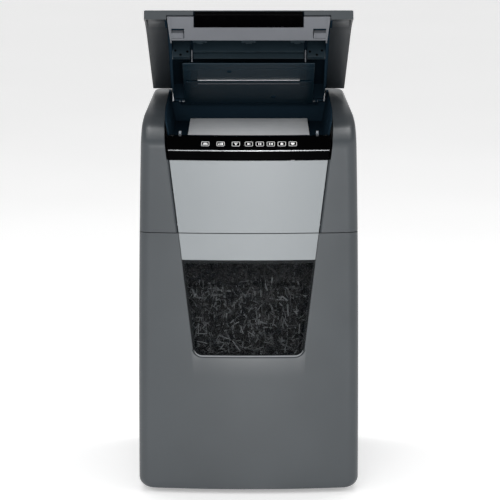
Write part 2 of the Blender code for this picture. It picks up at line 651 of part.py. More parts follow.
def cutter_profile(shift, right_end, left_end):
    points = [(left_end, JOURNAL_RADIUS), (-SIDE_PLATE_X + 0.002, JOURNAL_RADIUS),
              (-SIDE_PLATE_X + 0.002, GROOVE_RADIUS)]
    first = -DISC_PITCH * (DISC_COUNT - 1) / 2 + shift
    for disc in range(DISC_COUNT):
        x = first + DISC_PITCH * disc
        points += [(x - DISC_WIDTH / 2, GROOVE_RADIUS), (x - DISC_WIDTH / 2, DISC_RADIUS),
                   (x + DISC_WIDTH / 2, DISC_RADIUS), (x + DISC_WIDTH / 2, GROOVE_RADIUS)]
    points += [(SIDE_PLATE_X - 0.002, GROOVE_RADIUS), (SIDE_PLATE_X - 0.002, JOURNAL_RADIUS),
               (right_end, JOURNAL_RADIUS)]
    return points


def make_mechanism():
    inner = side_x(REAR_WRAP, SEAM_HEIGHT) - WALL - 0.003
    chassis = finish("chassis_plate", block((-inner, FRONT_Y + 0.050, CHASSIS_Z), (inner, REAR_Y - 0.012, CHASSIS_Z + 0.003)),
                     ZINC)
    cut(chassis, block((-SIDE_PLATE_X + 0.004, SHAFT_Y["front"] - 0.018, CHASSIS_Z - 0.01),
                       (SIDE_PLATE_X - 0.004, SHAFT_Y["rear"] + 0.018, CHASSIS_Z + 0.01)))

    plate_low = CHASSIS_Z + 0.003 + GAP
    plate_high = CHAMBER_FLOOR - CHAMBER_WALL - 0.002
    frames = {}
    for side, name in ((1, "right"), (-1, "left")):
        near = SIDE_PLATE_X if side > 0 else -SIDE_PLATE_X - SIDE_PLATE
        plate = finish(f"cutter_frame_{name}", block((near, FEED_Y[0] - 0.012, plate_low),
                                                     (near + SIDE_PLATE, MOTOR_Y + 0.034, plate_high)), ZINC)
        holes = [turned([(near - 0.01, JOURNAL_RADIUS + 0.0006), (near + 0.02, JOURNAL_RADIUS + 0.0006)],
                        (y, CUTTER_Z), 16) for y in SHAFT_Y.values()]
        holes += [turned([(near - 0.01, FEED_SHAFT_RADIUS + 0.0006), (near + 0.02, FEED_SHAFT_RADIUS + 0.0006)],
                         (y, FEED_Z), 14) for y in FEED_Y]
        if side < 0:
            holes.append(turned([(near - 0.01, 0.006), (near + 0.02, 0.006)], (MOTOR_Y, CUTTER_Z), 12))
        cut(plate, *holes)
        frames[name] = plate

    gear_end = GEAR_PLANE + GEAR_WIDTH + 0.003
    angle = {"rear": 0.0}
    centre = {name: (y, CUTTER_Z) for name, y in SHAFT_Y.items()}
    angle["front"] = meshing_angle(centre["rear"], CUTTER_TEETH, 0.0, centre["front"], CUTTER_TEETH)
    for name, shift, left_end in (("front", DISC_PITCH / 4, -SIDE_PLATE_X - SIDE_PLATE - 0.001),
                                  ("rear", -DISC_PITCH / 4, -gear_end)):
        at = joint_empty(f"cutter_{name}_axis", (0, *centre[name]))
        profile = cutter_profile(shift, gear_end, left_end)
        finish(f"cutter_shaft_{name}", turned(profile, centre[name], 14), STEEL, parent=at, smooth=True)
        gear(f"cutter_gear_{name}", CUTTER_TEETH, centre[name], angle[name], 1, JOURNAL_RADIUS + GAP, at)
        if name == "rear":
            gear("drive_gear", DRIVE_TEETH, centre[name], 0.0, -1, JOURNAL_RADIUS + GAP, at)

    for name, feed_y in zip(("front", "rear"), FEED_Y):
        feed = (feed_y, FEED_Z)
        idler = idler_centre(centre[name], feed)
        idler_angle = meshing_angle(centre[name], CUTTER_TEETH, angle[name], idler, IDLER_TEETH)
        feed_angle = meshing_angle(idler, IDLER_TEETH, idler_angle, feed, FEED_TEETH)
        idler_at = joint_empty(f"idler_{name}_axis", (0, *idler))
        gear(f"idler_gear_{name}", IDLER_TEETH, idler, idler_angle, 1, 0.0045, idler_at)
        join(frames["right"], turned([(SIDE_PLATE_X + 0.001, 0.0041), (gear_end, 0.0041)], idler, 12))
        feed_at = joint_empty(f"feed_{name}_axis", (0, *feed))
        profile = [(-SIDE_PLATE_X - SIDE_PLATE - 0.001, FEED_SHAFT_RADIUS)]
        for sx in (-1, 1):
            low, high = sx * ROLLER_X - ROLLER_WIDTH / 2, sx * ROLLER_X + ROLLER_WIDTH / 2
            profile += [(low, FEED_SHAFT_RADIUS), (low, ROLLER_RADIUS), (high, ROLLER_RADIUS), (high, FEED_SHAFT_RADIUS)]
        profile.append((gear_end, FEED_SHAFT_RADIUS))
        finish(f"feed_roller_{name}", turned(profile, feed, 20), RUBBER, parent=feed_at, smooth=True)
        gear(f"feed_gear_{name}", FEED_TEETH, feed, feed_angle, 1, FEED_SHAFT_RADIUS + GAP, feed_at)

    motor_face = -SIDE_PLATE_X + GAP
    motor = finish("motor", turned([(motor_face, MOTOR_RADIUS - 0.003), (motor_face + 0.006, MOTOR_RADIUS),
                                    (motor_face + MOTOR_LENGTH - 0.006, MOTOR_RADIUS),
                                    (motor_face + MOTOR_LENGTH, MOTOR_RADIUS - 0.004)], (MOTOR_Y, CUTTER_Z), 20),
                   ZINC, smooth=True)
    cut(motor, turned([(motor_face - 0.01, 0.0046), (motor_face + 0.025, 0.0046)], (MOTOR_Y, CUTTER_Z), 12))
    motor_at = joint_empty("motor_axis", (0, MOTOR_Y, CUTTER_Z))
    shaft = turned([(-gear_end, 0.004), (motor_face + 0.024, 0.004)], (MOTOR_Y, CUTTER_Z), 12)
    finish("motor_shaft", shaft, STEEL, parent=motor_at, smooth=True)
    pinion_angle = meshing_angle(centre["rear"], DRIVE_TEETH, 0.0, (MOTOR_Y, CUTTER_Z), PINION_TEETH)
    gear("motor_pinion", PINION_TEETH, (MOTOR_Y, CUTTER_Z), pinion_angle, -1, 0.004 + GAP, motor_at)

    make_combs()
    board = block((-0.100, FRONT_Y + 0.032, 0.500), (0.100, FRONT_Y + 0.0336, 0.560))
    finish("control_board", board, BOARD)
    base = CHASSIS_Z + 0.003 + GAP
    finish("power_supply", block((-0.085, -0.150, base), (0.000, -0.070, base + 0.028)), ZINC)


def make_combs():
    """Strippers whose fingers reach between the discs of each shaft."""
    for name, sign, shift in (("front", -1, DISC_PITCH / 4), ("rear", 1, -DISC_PITCH / 4)):
        y = SHAFT_Y[name]
        back, bar, finger = (y + sign * r for r in (0.0304, 0.0282, GROOVE_RADIUS + 0.0012))
        ends = SIDE_PLATE_X - GAP
        points = [(-ends, back), (-ends, bar)]
        for gap in range(DISC_COUNT - 1):
            x = -DISC_PITCH * (DISC_COUNT - 2) / 2 + shift + DISC_PITCH * gap
            points += [(x - 0.003, bar), (x - 0.003, finger), (x + 0.003, finger), (x + 0.003, bar)]
        points += [(ends, bar), (ends, back)]
        finish(f"stripper_comb_{name}", prism(points, "Z", CUTTER_Z - 0.003, CUTTER_Z + 0.003), ZINC)


# ---------------------------------------------------------------- lid
def ahead(reach, above=0.0):
    """(y, z) of a point this far ahead of the hinge and above it, with the lid closed."""
    return (HINGE_Y - reach, HINGE_Z + above)


def lid_half(reach):
    share = reach / LID_LENGTH
    return (LID_REAR_WIDTH + (LID_FRONT_WIDTH - LID_REAR_WIDTH) * share) / 2


def lid_section(reach, half, low, high):
    """A four-cornered slice of the lid with softened upper corners."""
    y = HINGE_Y - reach
    ease = 0.0025
    return [(-half, y, low), (half, y, low), (half, y, high - ease), (half - ease, y, high),
            (-half + ease, y, high), (-half, y, high - ease)]


def make_lid():
    lid = joint_empty("lid_axis", (0, HINGE_Y, HINGE_Z), -LID_OPEN_ANGLE)
    top = HINGE_Z + LID_TOP
    reaches = [LID_REAR, 0.060, 0.160] + [LID_LENGTH - behind for behind in (0.105, 0.075, 0.040, 0.015, 0)]
    rings = []
    for reach in reaches:
        low = shoulder_top(HINGE_Y - reach) + RUNNING_GAP
        crown = 0.0015 * (reach / LID_LENGTH) ** 4
        rings.append(lid_section(reach, lid_half(reach), low, top - crown))
    shell = finish("lid_shell", loft(rings), BODY, parent=lid)
    wing_inner = WING_INNER + WALL
    hollows = []
    for sx in (1, -1):
        wing = []
        for reach in (LID_REAR + WALL, LID_LENGTH - WALL):
            y = HINGE_Y - reach
            outer = lid_half(reach) - WALL
            wing.append([(sx * wing_inner, y, 0.600), (sx * outer, y, 0.600),
                         (sx * outer, y, top - LID_SKIN - 0.0015), (sx * wing_inner, y, top - LID_SKIN - 0.0015)])
        hollows.append(loft(wing))
    centre = block((-WING_INNER, HINGE_Y - LID_LENGTH + WALL, 0.600), (WING_INNER, HINGE_Y - LID_REAR + 0.01, top - LID_SKIN))
    centre_rim = block((-WING_INNER, HINGE_Y - LID_LENGTH - 0.01, 0.600),
                       (WING_INNER, HINGE_Y - LID_LENGTH + 0.02, HINGE_Z - 0.0040))
    mouth = block((-INSERT_HALF - 0.0022, HINGE_Y - LID_LENGTH - 0.01, 0.600),
                  (INSERT_HALF + 0.0022, HINGE_Y - LID_LENGTH + 0.02, top - LID_SKIN - 0.0001))
    slot = block((-SLOT_LENGTH / 2, CUTTER_Y - SLOT_WIDTH / 2, 0.640), (SLOT_LENGTH / 2, CUTTER_Y + SLOT_WIDTH / 2, 0.670))
    cut(shell, *hollows, centre, centre_rim, mouth, slot)
    make_lid_inside(lid)
    make_plate(lid)


PANEL_REACH = ((LID_LENGTH - 0.0040, -0.0060), (LID_LENGTH - 0.0490, -0.0300))    # upper and lower edge of the sloped inner panel


def on_panel(share, out=0.0):
    """(y, z) on the sloped panel's face, a share of the way down; out is towards its back."""
    (r0, a0), (r1, a1) = PANEL_REACH
    y, z = ahead(r0 + (r1 - r0) * share, a0 + (a1 - a0) * share)
    length = math.hypot(r1 - r0, a1 - a0)
    return (y + out * -(a1 - a0) / length, z + out * (r0 - r1) / length)


def panel_slab(half_top, half_low, start, end, face, back):
    """A slab on the sloped panel between two shares of its height."""
    rings = []
    for share, half in ((start, half_top), (end, half_low)):
        front_y, front_z = on_panel(share, face)
        back_y, back_z = on_panel(share, back)
        rings.append([(-half, front_y, front_z), (half, front_y, front_z), (half, back_y, back_z), (-half, back_y, back_z)])
    return loft(rings)


def make_lid_inside(lid):
    panel = finish("lid_inner_panel", panel_slab(0.1390, 0.1345, 0.0, 1.0, 0.0, 0.0025), LIGHT, parent=lid)
    mouth_half = INSERT_HALF + 0.0015
    mouth = panel_slab(mouth_half, mouth_half, -0.10, 0.46, -0.01, 0.01)
    catch_holes = []
    for sx in (1, -1):
        hole = panel_slab(0.0115, 0.0115, 0.50, 0.92, -0.01, 0.01)
        hole.transform(Matrix.Translation((sx * 0.1185, 0, 0)))
        catch_holes.append(hole)
    cut(panel, mouth, *catch_holes)

    lip = [ahead(LID_LENGTH, -0.0040), ahead(LID_LENGTH, 0.0022), ahead(LID_LENGTH - WALL, 0.0022),
           ahead(LID_LENGTH - WALL, -0.0022), on_panel(0.44, 0.0025), on_panel(0.44, 0.0)]
    finish("lid_front_insert", prism(lip, "X", -INSERT_HALF, INSERT_HALF), GLOSS, parent=lid)
    for sx, name in ((1, "right"), (-1, "left")):
        catch = panel_slab(0.0108, 0.0108, 0.66, 0.90, -0.0015, 0.0090)
        catch.transform(Matrix.Translation((sx * 0.1185, 0, 0)))
        finish(f"lid_catch_{name}", catch, BODY, parent=lid)

    frame_front, frame_rear = LID_LENGTH - 0.0525, 0.030
    top, low = HINGE_Z + LID_TOP - LID_SKIN - GAP, HINGE_Z - 0.026
    section = [(-0.1345, low), (0.1345, low), (0.1395, top), (-0.1395, top)]
    room = [(-0.1320, low - 0.01), (0.1320, low - 0.01), (0.1370, top + 0.01), (-0.1370, top + 0.01)]
    frame = finish("lid_inner_frame", prism(section, "Y", HINGE_Y - frame_front, HINGE_Y - frame_rear), DARK, parent=lid)
    cut(frame, prism(room, "Y", HINGE_Y - frame_front + 0.0025, HINGE_Y - frame_rear - 0.0025))
    reach, above = PLATE_PIVOT
    lug = [ahead(reach - 0.0045, above - 0.0045), ahead(frame_rear + 0.002, above - 0.0045),
           ahead(frame_rear + 0.002, -0.0065), ahead(reach - 0.0045, -0.0065)]
    for side in (1, -1):
        ends = sorted((side * 0.1200, side * 0.1230))
        join(frame, prism(lug, "X", *ends))
        bore = ROD_RADIUS + GAP
        cut(frame, turned([(ends[0] - 0.01, bore), (ends[1] + 0.01, bore)], ahead(reach, above), 12))

    half = SLOT_LENGTH / 2
    throat = finish("lid_throat", block((-half - 0.003, CUTTER_Y - SLOT_WIDTH / 2 - 0.003, HINGE_Z - 0.015),
                                        (half + 0.003, CUTTER_Y + SLOT_WIDTH / 2 + 0.003, top)), DARK, parent=lid)
    cut(throat, block((-half, CUTTER_Y - SLOT_WIDTH / 2, 0.62), (half, CUTTER_Y + SLOT_WIDTH / 2, 0.67)))

    for sx, name in ((1, "right"), (-1, "left")):
        arm = [ahead(-0.0060, 0.0), ahead(-0.0042, -0.0042), ahead(0.0, -0.0060), ahead(0.028, -0.0060),
               ahead(0.028, 0.0024), ahead(0.0065, 0.0024), ahead(0.0042, 0.0044), ahead(0.0, 0.0060),
               ahead(-0.0042, 0.0042)]
        arm_mesh = prism(arm, "X", 0.1265, 0.1335)
        piece = finish(f"hinge_arm_{name}", arm_mesh if sx > 0 else mirrored(arm_mesh), BODY, parent=lid)
        bore = turned([(0.12, PIN_RADIUS + PIN_CLEARANCE), (0.14, PIN_RADIUS + PIN_CLEARANCE)], (HINGE_Y, HINGE_Z), 12)
        cut(piece, bore if sx > 0 else mirrored(bore))
    rod = turned([(-0.1245, ROD_RADIUS), (0.1245, ROD_RADIUS)], ahead(*PLATE_PIVOT), 12)
    finish("plate_pivot_rod", rod, STEEL, parent=lid, smooth=True)


def make_plate(lid):
    pivot = ahead(*PLATE_PIVOT)
    plate_at = joint_empty("plate_axis", (0, *pivot), parent=lid)
    rear_reach = PLATE_PIVOT[0] + 0.0030

    def under(reach, above=0.0):
        slope = (0.0410 - 0.0331) / (PLATE_FRONT - rear_reach)
        return ahead(reach, -0.0331 - slope * (reach - rear_reach) + above)

    outline = [under(rear_reach), under(PLATE_FRONT), under(PLATE_FRONT + 0.0030, 0.0085),
               under(PLATE_FRONT + 0.0005, 0.0085), under(PLATE_FRONT - 0.0020, PLATE_THICKNESS),
               under(rear_reach, PLATE_THICKNESS)]
    plate = finish("pressure_plate", prism(outline, "X", -PLATE_HALF, PLATE_HALF), DARK, parent=plate_at)
    slot = block((-SLOT_LENGTH / 2, CUTTER_Y - SLOT_WIDTH / 2, 0.58), (SLOT_LENGTH / 2, CUTTER_Y + SLOT_WIDTH / 2, 0.64))
    cut(plate, slot)
    front = SLOT_REACH + SLOT_WIDTH / 2 + GAP
    strip = [under(front, -0.0012), under(front + 0.0036, -0.0012), under(front + 0.0036, -GAP), under(front, -GAP)]
    finish("slot_strip", prism(strip, "X", -0.090, 0.090), BRIGHT, parent=plate_at)
    for side in (1, -1):
        ends = sorted((side * 0.098, side * 0.114))
        join(plate, turned([(x, 0.0045) for x in ends], pivot, 14))
    bore = ROD_RADIUS + PIN_CLEARANCE
    cut(plate, turned([(-0.12, bore), (0.12, bore)], pivot, 12))


make_lower_cabinet()
make_bin()
make_upper_housing()
make_rear_fittings()
make_mechanism()
make_lid()
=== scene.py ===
import math
import random

import bmesh
import bpy
from bmesh import ops
from mathutils import Matrix, Vector


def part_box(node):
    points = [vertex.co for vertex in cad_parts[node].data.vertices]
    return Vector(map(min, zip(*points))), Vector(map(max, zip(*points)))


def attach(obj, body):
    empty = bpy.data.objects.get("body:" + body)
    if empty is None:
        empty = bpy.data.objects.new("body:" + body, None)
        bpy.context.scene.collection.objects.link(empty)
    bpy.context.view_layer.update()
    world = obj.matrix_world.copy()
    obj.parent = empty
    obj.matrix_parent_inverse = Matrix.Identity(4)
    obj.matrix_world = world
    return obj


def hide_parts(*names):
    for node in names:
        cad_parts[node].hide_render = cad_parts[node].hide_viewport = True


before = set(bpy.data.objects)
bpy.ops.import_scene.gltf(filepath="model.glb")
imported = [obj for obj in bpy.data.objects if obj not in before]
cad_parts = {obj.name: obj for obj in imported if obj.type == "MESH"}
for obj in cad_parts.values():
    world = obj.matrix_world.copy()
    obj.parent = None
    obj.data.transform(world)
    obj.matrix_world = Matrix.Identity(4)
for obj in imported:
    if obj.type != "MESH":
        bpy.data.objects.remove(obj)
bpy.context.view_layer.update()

# ---------------- sizes, in metres
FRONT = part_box("bin_front")[0][1]              # the foremost line of the front
BASE_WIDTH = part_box("bin_front")[1][0] * 2
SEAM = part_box("bin_front")[1][2]
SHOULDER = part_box("upper_housing")[1][2]
SHOULDER_WIDTH = 0.364
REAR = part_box("rear_panel")[1][1]
DEPTH = REAR - FRONT
SIDE_TAPER = 0.007
BOW = 0.015
CORNER = 0.018
REAR_CORNER = 0.012
SKIRT = 0.008
WALL = 0.003
SEAM_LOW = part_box("upper_housing")[0][2]

PANEL_TOP = 0.5805
PANEL_HALF_TOP = 0.1345
PANEL_TAPER = 0.1212
STRIP_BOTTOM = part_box("bin_silver_strip")[0][2]
WINDOW_BOTTOM = 0.2430
WINDOW_CORNER = 0.014
RECESS = 0.0035
RECESS_FLARE = 0.0045
TRIM_LOW = 0.5953
TRIM_HIGH = 0.5989
SLOPE_LOW, SLOPE_HIGH = 0.5994, 0.6180
SLOPE_SETBACK = 0.0255

FLOOR_Z = 0.600
CHAMBER_HALF_FLOOR, CHAMBER_HALF_TOP = 0.132, 0.142
CHAMBER_WALL = 0.0024
TRAY_LOW, TRAY_HIGH = FLOOR_Z - 0.004, SHOULDER + 0.010

HINGE = Vector((0, 0.170, 0.650))
LID_OPEN = math.radians(30)
LID_LENGTH, LID_REAR = 0.345, 0.010
LID_TOP, LID_SKIN, LID_LOWEST = 0.006, 0.003, 0.6368
LID_FRONT_HALF, LID_REAR_HALF = 0.1785, 0.1725
WING_INNER = 0.1405
INSERT_HALF = 0.0925
PANEL_UPPER, PANEL_LOWER = (0.3410, -0.0060), (0.2960, -0.0300)
SLOT_REACH, SLOT_HALF, SLOT_WIDE = 0.138, 0.111, 0.007
SLOT_Y = HINGE.y - SLOT_REACH

OPEN_LID = Matrix.Translation(HINGE) @ Matrix.Rotation(-LID_OPEN, 4, "X") @ Matrix.Translation(-HINGE)


# ---------------- outlines of the cabinet
def half_width(z):
    share = max(z, 0.0) / SHOULDER
    return (BASE_WIDTH - (BASE_WIDTH - SHOULDER_WIDTH) * share ** 2.5) / 2


def side_x(y, z):
    return half_width(z) - SIDE_TAPER * (y - FRONT - BOW - CORNER) / DEPTH


def bow(x):
    return BOW * (2 * x / BASE_WIDTH) ** 2


def quarter(centre, radius, start, steps):
    """A quarter circle, anticlockwise."""
    turns = [start + math.pi / 2 * i / steps for i in range(steps + 1)]
    return [(centre[0] + radius * math.cos(a), centre[1] + radius * math.sin(a)) for a in turns]


def front_outline(z, front=FRONT, inset=0.0, wrap=None):
    """Right half of the front, from the middle round the corner."""
    edge = half_width(z) - CORNER
    steps = 20
    points = [(edge * i / steps, front + bow(edge * i / steps) + inset) for i in range(steps)]
    points += quarter((edge, front + bow(edge) + CORNER), CORNER - inset, -math.pi / 2, 8)
    if wrap is not None:
        points.append((side_x(wrap, z) - inset, wrap))
    return points


def rear_outline(z, inset=0.0):
    """Right half of the rear, from the side to the middle."""
    edge = side_x(REAR, z) - REAR_CORNER
    points = quarter((edge, REAR - REAR_CORNER), REAR_CORNER - inset, 0.0, 6)
    return points + [(edge * (1 - i / 6), REAR - inset) for i in range(1, 7)]


def panel_half(z):
    return PANEL_HALF_TOP - PANEL_TAPER * (PANEL_TOP - z)


def skirt_rounding(z):
    rise = z - SKIRT
    if rise >= CORNER:
        return 1.0
    drop = CORNER - math.sqrt(CORNER ** 2 - (CORNER - rise) ** 2)
    return 1 - drop / half_width(z)


# ---------------- making meshes
def through(loops):
    """A closed solid whose skin runs through loops of equally many points."""
    count = len(loops[0])
    bm = bmesh.new()
    ops.create_grid(bm, x_segments=count, y_segments=len(loops) - 1, size=0.5)
    for v in bm.verts:
        column = round((v.co.x + 0.5) * count) % count
        row = round((v.co.y + 0.5) * (len(loops) - 1))
        v.co = loops[row][column]
    ops.remove_doubles(bm, verts=bm.verts, dist=1e-6)
    rims = [e for e in bm.edges if e.is_boundary]
    ops.holes_fill(bm, edges=rims, sides=0)
    ops.recalc_face_normals(bm, faces=bm.faces)
    return bm


def block(low, high):
    bm = bmesh.new()
    size = Vector(high) - Vector(low)
    ops.create_cube(bm, size=1.0)
    ops.scale(bm, vec=size, verts=bm.verts)
    ops.translate(bm, vec=(Vector(high) + Vector(low)) / 2, verts=bm.verts)
    return bm


def rounded_block(low, high, radius):
    bm = block(low, high)
    ops.bevel(bm, geom=bm.edges[:], offset=radius, segments=3, affect="EDGES", profile=0.5, material=-1)
    return bm


def rod(start, end, radius, sides=24, tip=None):
    bm = bmesh.new()
    along = Vector(end) - Vector(start)
    ops.create_cone(bm, cap_ends=True, segments=sides, radius1=radius,
                          radius2=radius if tip is None else tip, depth=along.length)
    turn = Vector((0, 0, 1)).rotation_difference(along).to_matrix().to_4x4()
    place = Matrix.Translation((Vector(start) + Vector(end)) / 2) @ turn
    ops.transform(bm, matrix=place, verts=bm.verts)
    return bm


def bar_of(section, axis, low, high):
    """A flat section drawn out along X or Y."""
    bm = bmesh.new()
    if axis == "X":
        corners = [bm.verts.new((low, a, b)) for a, b in section]
        way = Vector((high - low, 0, 0))
    else:
        corners = [bm.verts.new((a, low, b)) for a, b in section]
        way = Vector((0, high - low, 0))
    face = bm.faces.new(corners)
    drawn = ops.extrude_face_region(bm, geom=[face])
    ops.translate(bm, vec=way, verts=[g for g in drawn["geom"] if isinstance(g, bmesh.types.BMVert)])
    ops.recalc_face_normals(bm, faces=bm.faces)
    return bm


def merged(*parts):
    """Several bmeshes in one."""
    whole = bmesh.new()
    for part in parts:
        mesh = bpy.data.meshes.new("part")
        part.to_mesh(mesh)
        part.free()
        whole.from_mesh(mesh)
        bpy.data.meshes.remove(mesh)
    return whole


def bowed(levels):
    """A solid that follows the bow; levels are (z, half, near setback, far setback, flare)."""
    loops = []
    steps = [-1 + 2 * i / 40 for i in range(41)]
    for z, half, near, far, flare in levels:
        front = [Vector(((half + flare) * s, FRONT + bow((half + flare) * s) + near, z)) for s in steps]
        back = [Vector((half * s, FRONT + bow(half * s) + far, z)) for s in reversed(steps)]
        loops.append(front + back)
    return through(loops)


def put_in_scene(name, data):
    thing = bpy.data.objects.new(name, data)
    bpy.context.scene.collection.objects.link(thing)
    return thing


def shade(mesh):
    mesh.shade_smooth()
    mesh.set_sharp_from_angle(angle=math.radians(32))


def new_piece(name, bm, mat, body, smooth=True):
    mesh = bpy.data.meshes.new(name)
    bm.to_mesh(mesh)
    bm.free()
    mesh.materials.append(mat)
    piece = put_in_scene(name, mesh)
    if smooth:
        shade(mesh)
    if body:
        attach(piece, body)
    return piece


def carve(piece, cutters):
    """Take each cutter out of the piece and keep the result as its mesh."""
    tools = []
    for number, bm in enumerate(cutters):
        tool = new_piece(f"{piece.name}_tool_{number}", bm, piece.data.materials[0], None, smooth=False)
        change = piece.modifiers.new("cut", "BOOLEAN")
        change.operation = "DIFFERENCE"
        change.solver = "EXACT"
        change.object = tool
        tools.append(tool)
    graph = bpy.context.evaluated_depsgraph_get()
    result = bpy.data.meshes.new_from_object(piece.evaluated_get(graph))
    piece.modifiers.clear()
    old = piece.data
    piece.data = result
    bpy.data.meshes.remove(old)
    for tool in tools:
        bpy.data.objects.remove(tool, do_unlink=True)
    tidy = bmesh.new()
    tidy.from_mesh(result)
    ops.remove_doubles(tidy, verts=tidy.verts, dist=1e-5)
    ops.dissolve_degenerate(tidy, edges=tidy.edges, dist=1e-5)
    tidy.to_mesh(result)
    tidy.free()
    shade(result)


def soften(piece, width, segments=3):
    """Round every sharp edge a little, so that it catches the light."""
    change = piece.modifiers.new("soft edges", "BEVEL")
    change.width = width
    change.segments = segments
    change.limit_method = "ANGLE"
    change.angle_limit = math.radians(35)
    change.harden_normals = True
    change.miter_outer = "MITER_ARC"


def hand_over(piece, replaced=None, edge=0, segments=3):
    """Round the piece's edges and hide the CAD node it stands for."""
    if edge:
        soften(piece, edge, segments)
    if replaced:
        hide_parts(replaced)


SIDES = ((1, "right"), (-1, "left"))


def to_side(side, inner, outer):
    """Two distances from the middle, as lower and higher x on that side."""
    return sorted((side * inner, side * outer))


def on_lid(piece):
    """The piece was made with the lid closed; turn it to the lid's rest place."""
    piece.data.transform(OPEN_LID)


def ahead(reach, above=0.0, x=0.0):
    """A point this far ahead of the hinge and above it, with the lid closed."""
    return Vector((x, HINGE.y - reach, HINGE.z + above))


# ---------------- shared effects for materials
def new_group(name, inputs, outputs):
    group = bpy.data.node_groups.new(name, "ShaderNodeTree")
    for label, kind, value in inputs:
        socket = group.interface.new_socket(label, in_out="INPUT", socket_type=kind)
        if value is not None:
            socket.default_value = value
    for label, kind in outputs:
        group.interface.new_socket(label, in_out="OUTPUT", socket_type=kind)
    return group, group.nodes.new("NodeGroupInput"), group.nodes.new("NodeGroupOutput")


def add_node(tree, kind, **settings):
    """A shader node with some of its inputs set."""
    node = tree.nodes.new("ShaderNode" + kind)
    for label, value in settings.items():
        node.inputs[label.replace("_", " ")].default_value = value
    return node


def add_ramp(tree, low, high, dark, light):
    """A ramp from a colour at the low position to one at the high position."""
    ramp = add_node(tree, "ValToRGB")
    for stop, position, colour in zip(ramp.color_ramp.elements, (low, high), (dark, light)):
        stop.position, stop.color = position, (*colour, 1)
    return ramp


def make_moulded_group():
    """Fine moulded texture: a height for bump and a slow tone."""
    group, source, out = new_group(
        "moulded surface",
        [("Vector", "NodeSocketVector", None), ("Grain", "NodeSocketFloat", 900.0),
         ("Cloud", "NodeSocketFloat", 9.0)],
        [("Height", "NodeSocketFloat"), ("Tone", "NodeSocketFloat")])
    link = group.links.new
    grain = add_node(group, "TexNoise", Detail=3.0)
    pits = add_node(group, "TexVoronoi")
    cloud = add_node(group, "TexNoise", Detail=4.0)
    both = add_node(group, "Math")
    both.operation = "MULTIPLY_ADD"
    both.inputs[1].default_value = 0.45
    for texture, scale in ((grain, "Grain"), (pits, "Grain"), (cloud, "Cloud")):
        link(source.outputs["Vector"], texture.inputs["Vector"])
        link(source.outputs[scale], texture.inputs["Scale"])
    link(pits.outputs["Distance"], both.inputs[0])
    link(grain.outputs["Fac"], both.inputs[2])
    link(both.outputs["Value"], out.inputs["Height"])
    link(cloud.outputs["Fac"], out.inputs["Tone"])
    return group


def make_brushed_group():
    """Long fine scratches along one direction."""
    group, source, out = new_group(
        "drawn metal", [("Vector", "NodeSocketVector", None), ("Fineness", "NodeSocketFloat", 1.0)],
        [("Height", "NodeSocketFloat"), ("Tone", "NodeSocketFloat")])
    link = group.links.new
    stretch = add_node(group, "Mapping", Scale=(30.0, 1200.0, 1200.0))
    lines = add_node(group, "TexNoise", Detail=2.0)
    cloud = add_node(group, "TexNoise", Scale=40.0)
    link(source.outputs["Vector"], stretch.inputs["Vector"])
    link(stretch.outputs["Vector"], lines.inputs["Vector"])
    link(source.outputs["Fineness"], lines.inputs["Scale"])
    link(source.outputs["Vector"], cloud.inputs["Vector"])
    link(lines.outputs["Fac"], out.inputs["Height"])
    link(cloud.outputs["Fac"], out.inputs["Tone"])
    return group


MOULDED = make_moulded_group()
BRUSHED = make_brushed_group()


def start_material(name, roughness, metallic=0.0, specular=0.5):
    mat = bpy.data.materials.new(name)
    mat.use_nodes = True
    shader = mat.node_tree.nodes["Principled BSDF"]
    shader.inputs["Roughness"].default_value = roughness
    shader.inputs["Metallic"].default_value = metallic
    shader.inputs["Specular IOR Level"].default_value = specular
    return mat, mat.node_tree, shader, add_node(mat.node_tree, "TexCoord")


def vary(tree, shader, value, dark, light, rough):
    """Base colour between dark and light, and roughness between two values, both led by a mask."""
    ramp = add_ramp(tree, 0.32, 0.68, dark, light)
    tree.links.new(value, ramp.inputs["Fac"])
    tree.links.new(ramp.outputs["Color"], shader.inputs["Base Color"])
    span = add_node(tree, "MapRange", From_Min=0.3, From_Max=0.7, To_Min=rough[0], To_Max=rough[1])
    tree.links.new(value, span.inputs["Value"])
    tree.links.new(span.outputs["Result"], shader.inputs["Roughness"])


def add_bump(tree, shader, height, strength, distance):
    bump = add_node(tree, "Bump", Strength=strength, Distance=distance)
    tree.links.new(height, bump.inputs["Height"])
    tree.links.new(bump.outputs["Normal"], shader.inputs["Normal"])


def surface_of(tree, places, group, **settings):
    """The outputs of a shared effect laid over the object."""
    surface = tree.nodes.new("ShaderNodeGroup")
    surface.node_tree = group
    for label, value in settings.items():
        surface.inputs[label].default_value = value
    tree.links.new(places.outputs["Object"], surface.inputs["Vector"])
    return surface.outputs


def moulded(name, colour, rough, grain=900.0, relief=0.25, contrast=0.06, specular=0.5):
    mat, tree, shader, places = start_material(name, sum(rough) / 2, specular=specular)
    surface = surface_of(tree, places, MOULDED, Grain=grain)
    dark = [c * (1 - contrast) for c in colour]
    light = [c * (1 + contrast) for c in colour]
    vary(tree, shader, surface["Tone"], dark, light, rough)
    add_bump(tree, shader, surface["Height"], relief, 0.0002)
    return mat


def metal(name, colour, rough, fineness=1.0, relief=0.2):
    mat, tree, shader, places = start_material(name, sum(rough) / 2, metallic=1.0)
    surface = surface_of(tree, places, BRUSHED, Fineness=fineness)
    vary(tree, shader, surface["Tone"], [c * 0.9 for c in colour], colour, rough)
    add_bump(tree, shader, surface["Height"], relief, 0.0001)
    return mat


